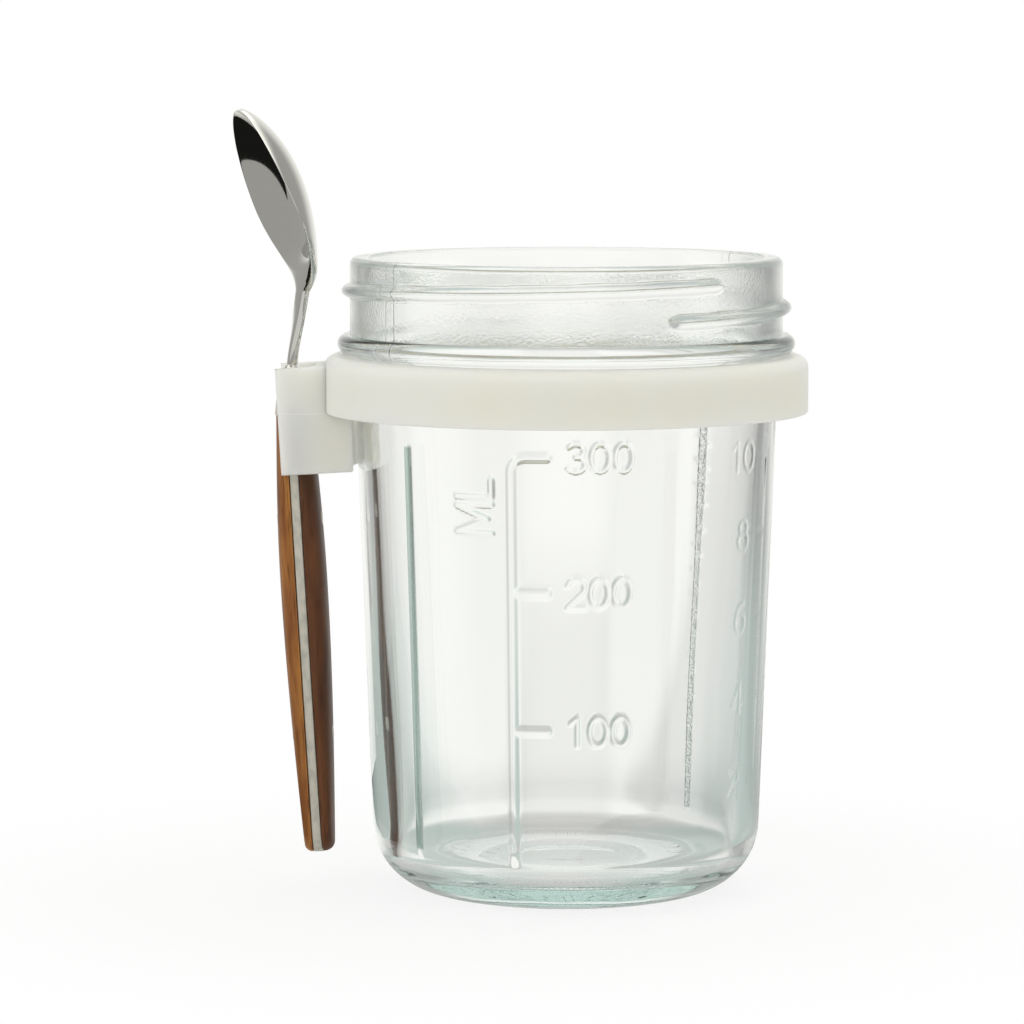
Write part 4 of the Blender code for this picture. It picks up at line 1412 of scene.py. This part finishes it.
@dataclass(frozen=True)
class Studio:
    """A pale floor, a white surround, soft lights and the photograph's camera."""

    axis_x: float
    spoon_x: float = -0.047
    distance: float = 0.938
    camera_height: float = 0.1683
    azimuth: float = math.radians(1.0)
    pitch: float = math.radians(5.777)
    yaw: float = math.radians(0.640)
    focal_pixels: float = 4859.0
    image_pixels: float = 1024.0
    sensor: float = 36.0
    surround_light: float = 0.77
    inner_light: float = 0.95
    warmth: Colour = (1.0, 1.0, 0.965)
    side_level: float = 0.46
    metal_spread: Span = (0.76, 0.975)
    metal_top: float = 0.9
    metal_top_edge: Span = (0.50, 0.80)
    metal_front: float = 0.36
    metal_front_edge: Span = (-0.45, -0.85)
    glass_side: float = 0.40
    glass_ahead: float = 0.985
    glass_spread: Span = (0.84, 0.985)
    glass_top: float = 0.85
    glass_top_edge: Span = (0.20, 0.75)
    glass_base: float = 0.56
    base_edge: Span = (0.020, 0.165)
    near_edge: Span = (0.55, 0.25)
    glass_low_side: float = 0.58
    glass_tint: Colour = (0.87, 1.0, 0.945)
    shade_middle: float = -0.0048
    shade_edge: Span = (0.0170, 0.0100)
    shade_end: Span = (0.62, 0.30)
    shade: float = 0.12
    right_shade: float = 0.20
    right_edges: tuple[Span, Span] = ((0.105, 0.165), (0.75, 0.60))
    behind_edge: Span = (0.0, 0.05)
    clear_edge: Span = (0.06, 0.16)
    clear_share: float = 0.20
    floor_colour: Colour = (0.93, 0.93, 0.93)
    card_colour: Colour = (0.012, 0.012, 0.011)
    card_height: float = 0.001
    floor_height: float = -0.0002
    floor_reach: float = 6.0
    aim_height: float = 0.07
    light_bounces: int = 24

    def add_camera(self) -> None:
        """Set up the camera as fitted to the photograph."""
        data = bpy.data.cameras.new("camera")
        data.sensor_width = self.sensor
        data.lens = self.focal_pixels / self.image_pixels * self.sensor
        data.clip_start, data.clip_end = 0.01, 20.0
        camera = link("camera", data)
        x = self.axis_x + self.distance * math.sin(self.azimuth)
        camera.location = (x, -self.distance * math.cos(self.azimuth), self.camera_height)
        camera.rotation_euler = (QUARTER - self.pitch, 0.0, self.azimuth + self.yaw)
        bpy.context.scene.camera = camera

    @staticmethod
    def ray_kinds(graph: Graph) -> tuple[Wire, Wire, Wire, Wire]:
        """What a ray has met last.

        Args:
            graph: Graph to add the nodes to.

        Returns:
            Whether it is the camera's own, has passed through glass or comes
            off a mirror, each with nothing dull on its way, and whether it has
            passed through glass after something dull.
        """
        outputs = graph.add("LightPath").socket.node.outputs
        names = ("Is Camera Ray", "Is Transmission Ray", "Is Glossy Ray", "Diffuse Depth")
        camera, through, glossy, dull = (Wire(graph, outputs[name]) for name in names)
        straight = (1.0 - camera) * (1.0 - graph.math("MINIMUM", dull, 1.0))
        seen = straight * through
        return camera, seen, straight * glossy * (1.0 - through), through - seen

    def level_in_metal(self, ahead: Wire) -> Wire:
        """Light that metal shows from a side: white behind the object, grey at its sides."""
        return ahead.within(*self.metal_spread) * (1.0 - self.side_level) + self.side_level

    def add_world(self) -> None:
        """A surround that the camera sees white.

        Metal sees it white behind the object, bright overhead and grey at the
        sides. Glass sees it white in four directions, behind the object, from
        the camera and from both sides, and greyer between them.
        """
        world = bpy.data.worlds.new("surround")
        world.use_nodes = True
        graph = Graph(world.node_tree)
        x, y, z = graph.parts(graph.add("TexCoord", output="Generated"))
        camera, seen, mirror, relit = self.ray_kinds(graph)
        flat = graph.length(x, y, 0.0001)
        ahead = y / flat
        metal = self.level_in_metal(ahead)
        metal = metal + z.within(*self.metal_top_edge) * self.metal_top
        metal = metal + ahead.within(*self.metal_front_edge) * self.metal_front
        glass = (graph.math("MAXIMUM", abs(x), abs(y)) / flat).within(*self.glass_spread)
        glass = glass * (self.glass_ahead - self.glass_side) + self.glass_side
        above = z.within(*self.glass_top_edge)
        glass = glass * (1.0 - above) + above * self.glass_top
        rest = 1.0 - camera - seen - mirror
        strength = camera + seen * glass + mirror * metal + rest * self.surround_light
        strength = strength + relit * self.inner_light
        colour = graph.mix(camera, self.warmth, (1.0, 1.0, 1.0))
        shader = graph.add("Background", {"Color": colour, "Strength": strength})
        graph.add("OutputWorld", {"Surface": shader})
        bpy.context.scene.world = world

    def floor_in_glass(self, graph: Graph, x: Wire, y: Wire) -> Wire:
        """What glass shows of the floor.

        It is white in the same four directions as the surround, greyer and
        greener between them and close by. A soft upright shade stands behind
        the jar's middle, and one at its right.

        Args:
            graph: Graph of the floor's material.
            x: Place along X on the floor.
            y: Place along Y on the floor.

        Returns:
            The glowing surface.
        """
        off = x - self.axis_x
        reach = graph.length(off, y, 0.000001)
        far, near = reach.within(*self.base_edge), reach.within(*self.near_edge)
        aside = off * self.distance / (y + self.distance) - self.shade_middle
        shaded = abs(aside).within(*self.shade_edge) * y.within(*self.shade_end)
        behind = y.within(*self.behind_edge)
        right = (off / reach).between(*self.right_edges) * behind * self.right_shade
        ahead = graph.math("MAXIMUM", abs(off), abs(y)) / reach
        ahead = ahead.within(*self.glass_spread)
        side = near * (self.glass_low_side - self.glass_side) + self.glass_side
        level = (ahead * (self.glass_ahead - side) + side) * far + (1.0 - far) * self.glass_base
        level = level * (1.0 - shaded * behind * self.shade) * (1.0 - right)
        return graph.emission(graph.mix((1.0 - ahead) * near, self.warmth, self.glass_tint), level)

    def floor_material(self) -> Material:
        """Pale floor: near white to the camera, with the object's shadow."""
        material, graph = new_material("pale_floor")
        x, y, _ = graph.parts(graph.place())
        camera, seen, mirror, _ = self.ray_kinds(graph)
        lit = graph.add("BsdfDiffuse", {"Color": (*self.floor_colour, 1.0)})
        away = graph.length(x, y).within(*self.clear_edge) * self.clear_share
        white = graph.emission((1.0, 1.0, 1.0))
        look = graph.blend(camera * (away + (1.0 - self.clear_share)), lit, white)
        ahead = y / graph.length(x - self.spoon_x, y, 0.000001)
        in_metal = graph.emission(self.warmth, self.level_in_metal(ahead))
        look = graph.blend(mirror, look, in_metal)
        graph.finish(graph.blend(seen, look, self.floor_in_glass(graph, x, y)))
        return material

    def card_material(self) -> Material:
        """Dark card that only mirrors show: clear to light that has passed through glass."""
        material, graph = new_material("dark_card")
        _, seen, _, _ = self.ray_kinds(graph)
        clear = graph.add("BsdfTransparent")
        graph.finish(graph.blend(seen, graph.emission(self.card_colour), clear))
        return material

    def add_sheet(
        self, name: str, corners: Sequence[Span], z: float, material: Material
    ) -> Object:
        """Add one flat sheet of the stage at a height."""
        mesh = bpy.data.meshes.new(name)
        mesh.from_pydata([(x, y, z) for x, y in corners], [], [(0, 1, 2, 3)])
        mesh.materials.append(material)
        sheet = link(name, mesh)
        return sheet

    def add_floor(self) -> None:
        """The floor, and a dark card beside it that only mirrors show."""
        end = self.floor_reach
        corners = [(-end, -end), (end, -end), (end, end), (-end, end)]
        self.add_sheet("floor", corners, self.floor_height, self.floor_material())
        card = [(-0.100, -0.075), (-0.055, -0.075), (-0.055, 0.120), (-0.420, 0.120)]
        sheet = self.add_sheet("dark_card", card, self.card_height, self.card_material())
        sheet.visible_camera = sheet.visible_diffuse = sheet.visible_shadow = False

    def add_light(self, name: str, place: Sequence[float], size: float, power: float) -> None:
        """Add one square soft light that points at the object's middle."""
        data = bpy.data.lights.new(name, "AREA")
        data.shape = "SQUARE"
        data.size = size
        data.energy = power
        light = link(name, data)
        light.location = place
        aim = Vector((0.0, 0.0, self.aim_height)) - Vector(place)
        light.rotation_euler = aim.to_track_quat("-Z", "Y").to_euler()
        light.visible_camera = light.visible_glossy = light.visible_transmission = False

    def build(self) -> None:
        """Make the whole studio."""
        self.add_camera()
        self.add_world()
        self.add_floor()
        self.add_light("key_light", (-0.55, -0.75, 0.95), 0.8, 2.0)
        self.add_light("top_light", (0.25, 0.25, 1.1), 0.9, 2.5)
        scene = bpy.context.scene
        for kind in ("max_bounces", "transmission_bounces", "glossy_bounces"):
            setattr(scene.cycles, kind, self.light_bounces)
        scene.view_settings.view_transform = "Standard"
        LOG.info("studio: camera lens %.1f mm", scene.camera.data.lens)


def jar_axis() -> float:
    """Place of the jar's axis along X, as the band's joint gives it."""
    joint = next(joint for joint in frame["joints"] if joint["name"] == "band_turn")
    return float(joint["pos_m"][0])


def main() -> None:
    """Build the studio and the three sub-assemblies."""
    logging.basicConfig(level=logging.INFO, format="%(message)s")
    axis_x = jar_axis()
    Studio(axis_x).build()
    jar = GlassJar(axis_x)
    jar.build()
    hang = SpoonFrame(axis_x)
    SiliconeBand(jar, hang).build()
    handle = Handle()
    Spoon(hang, handle, Blade(handle)).build()


if __name__ == "__main__":
    main()
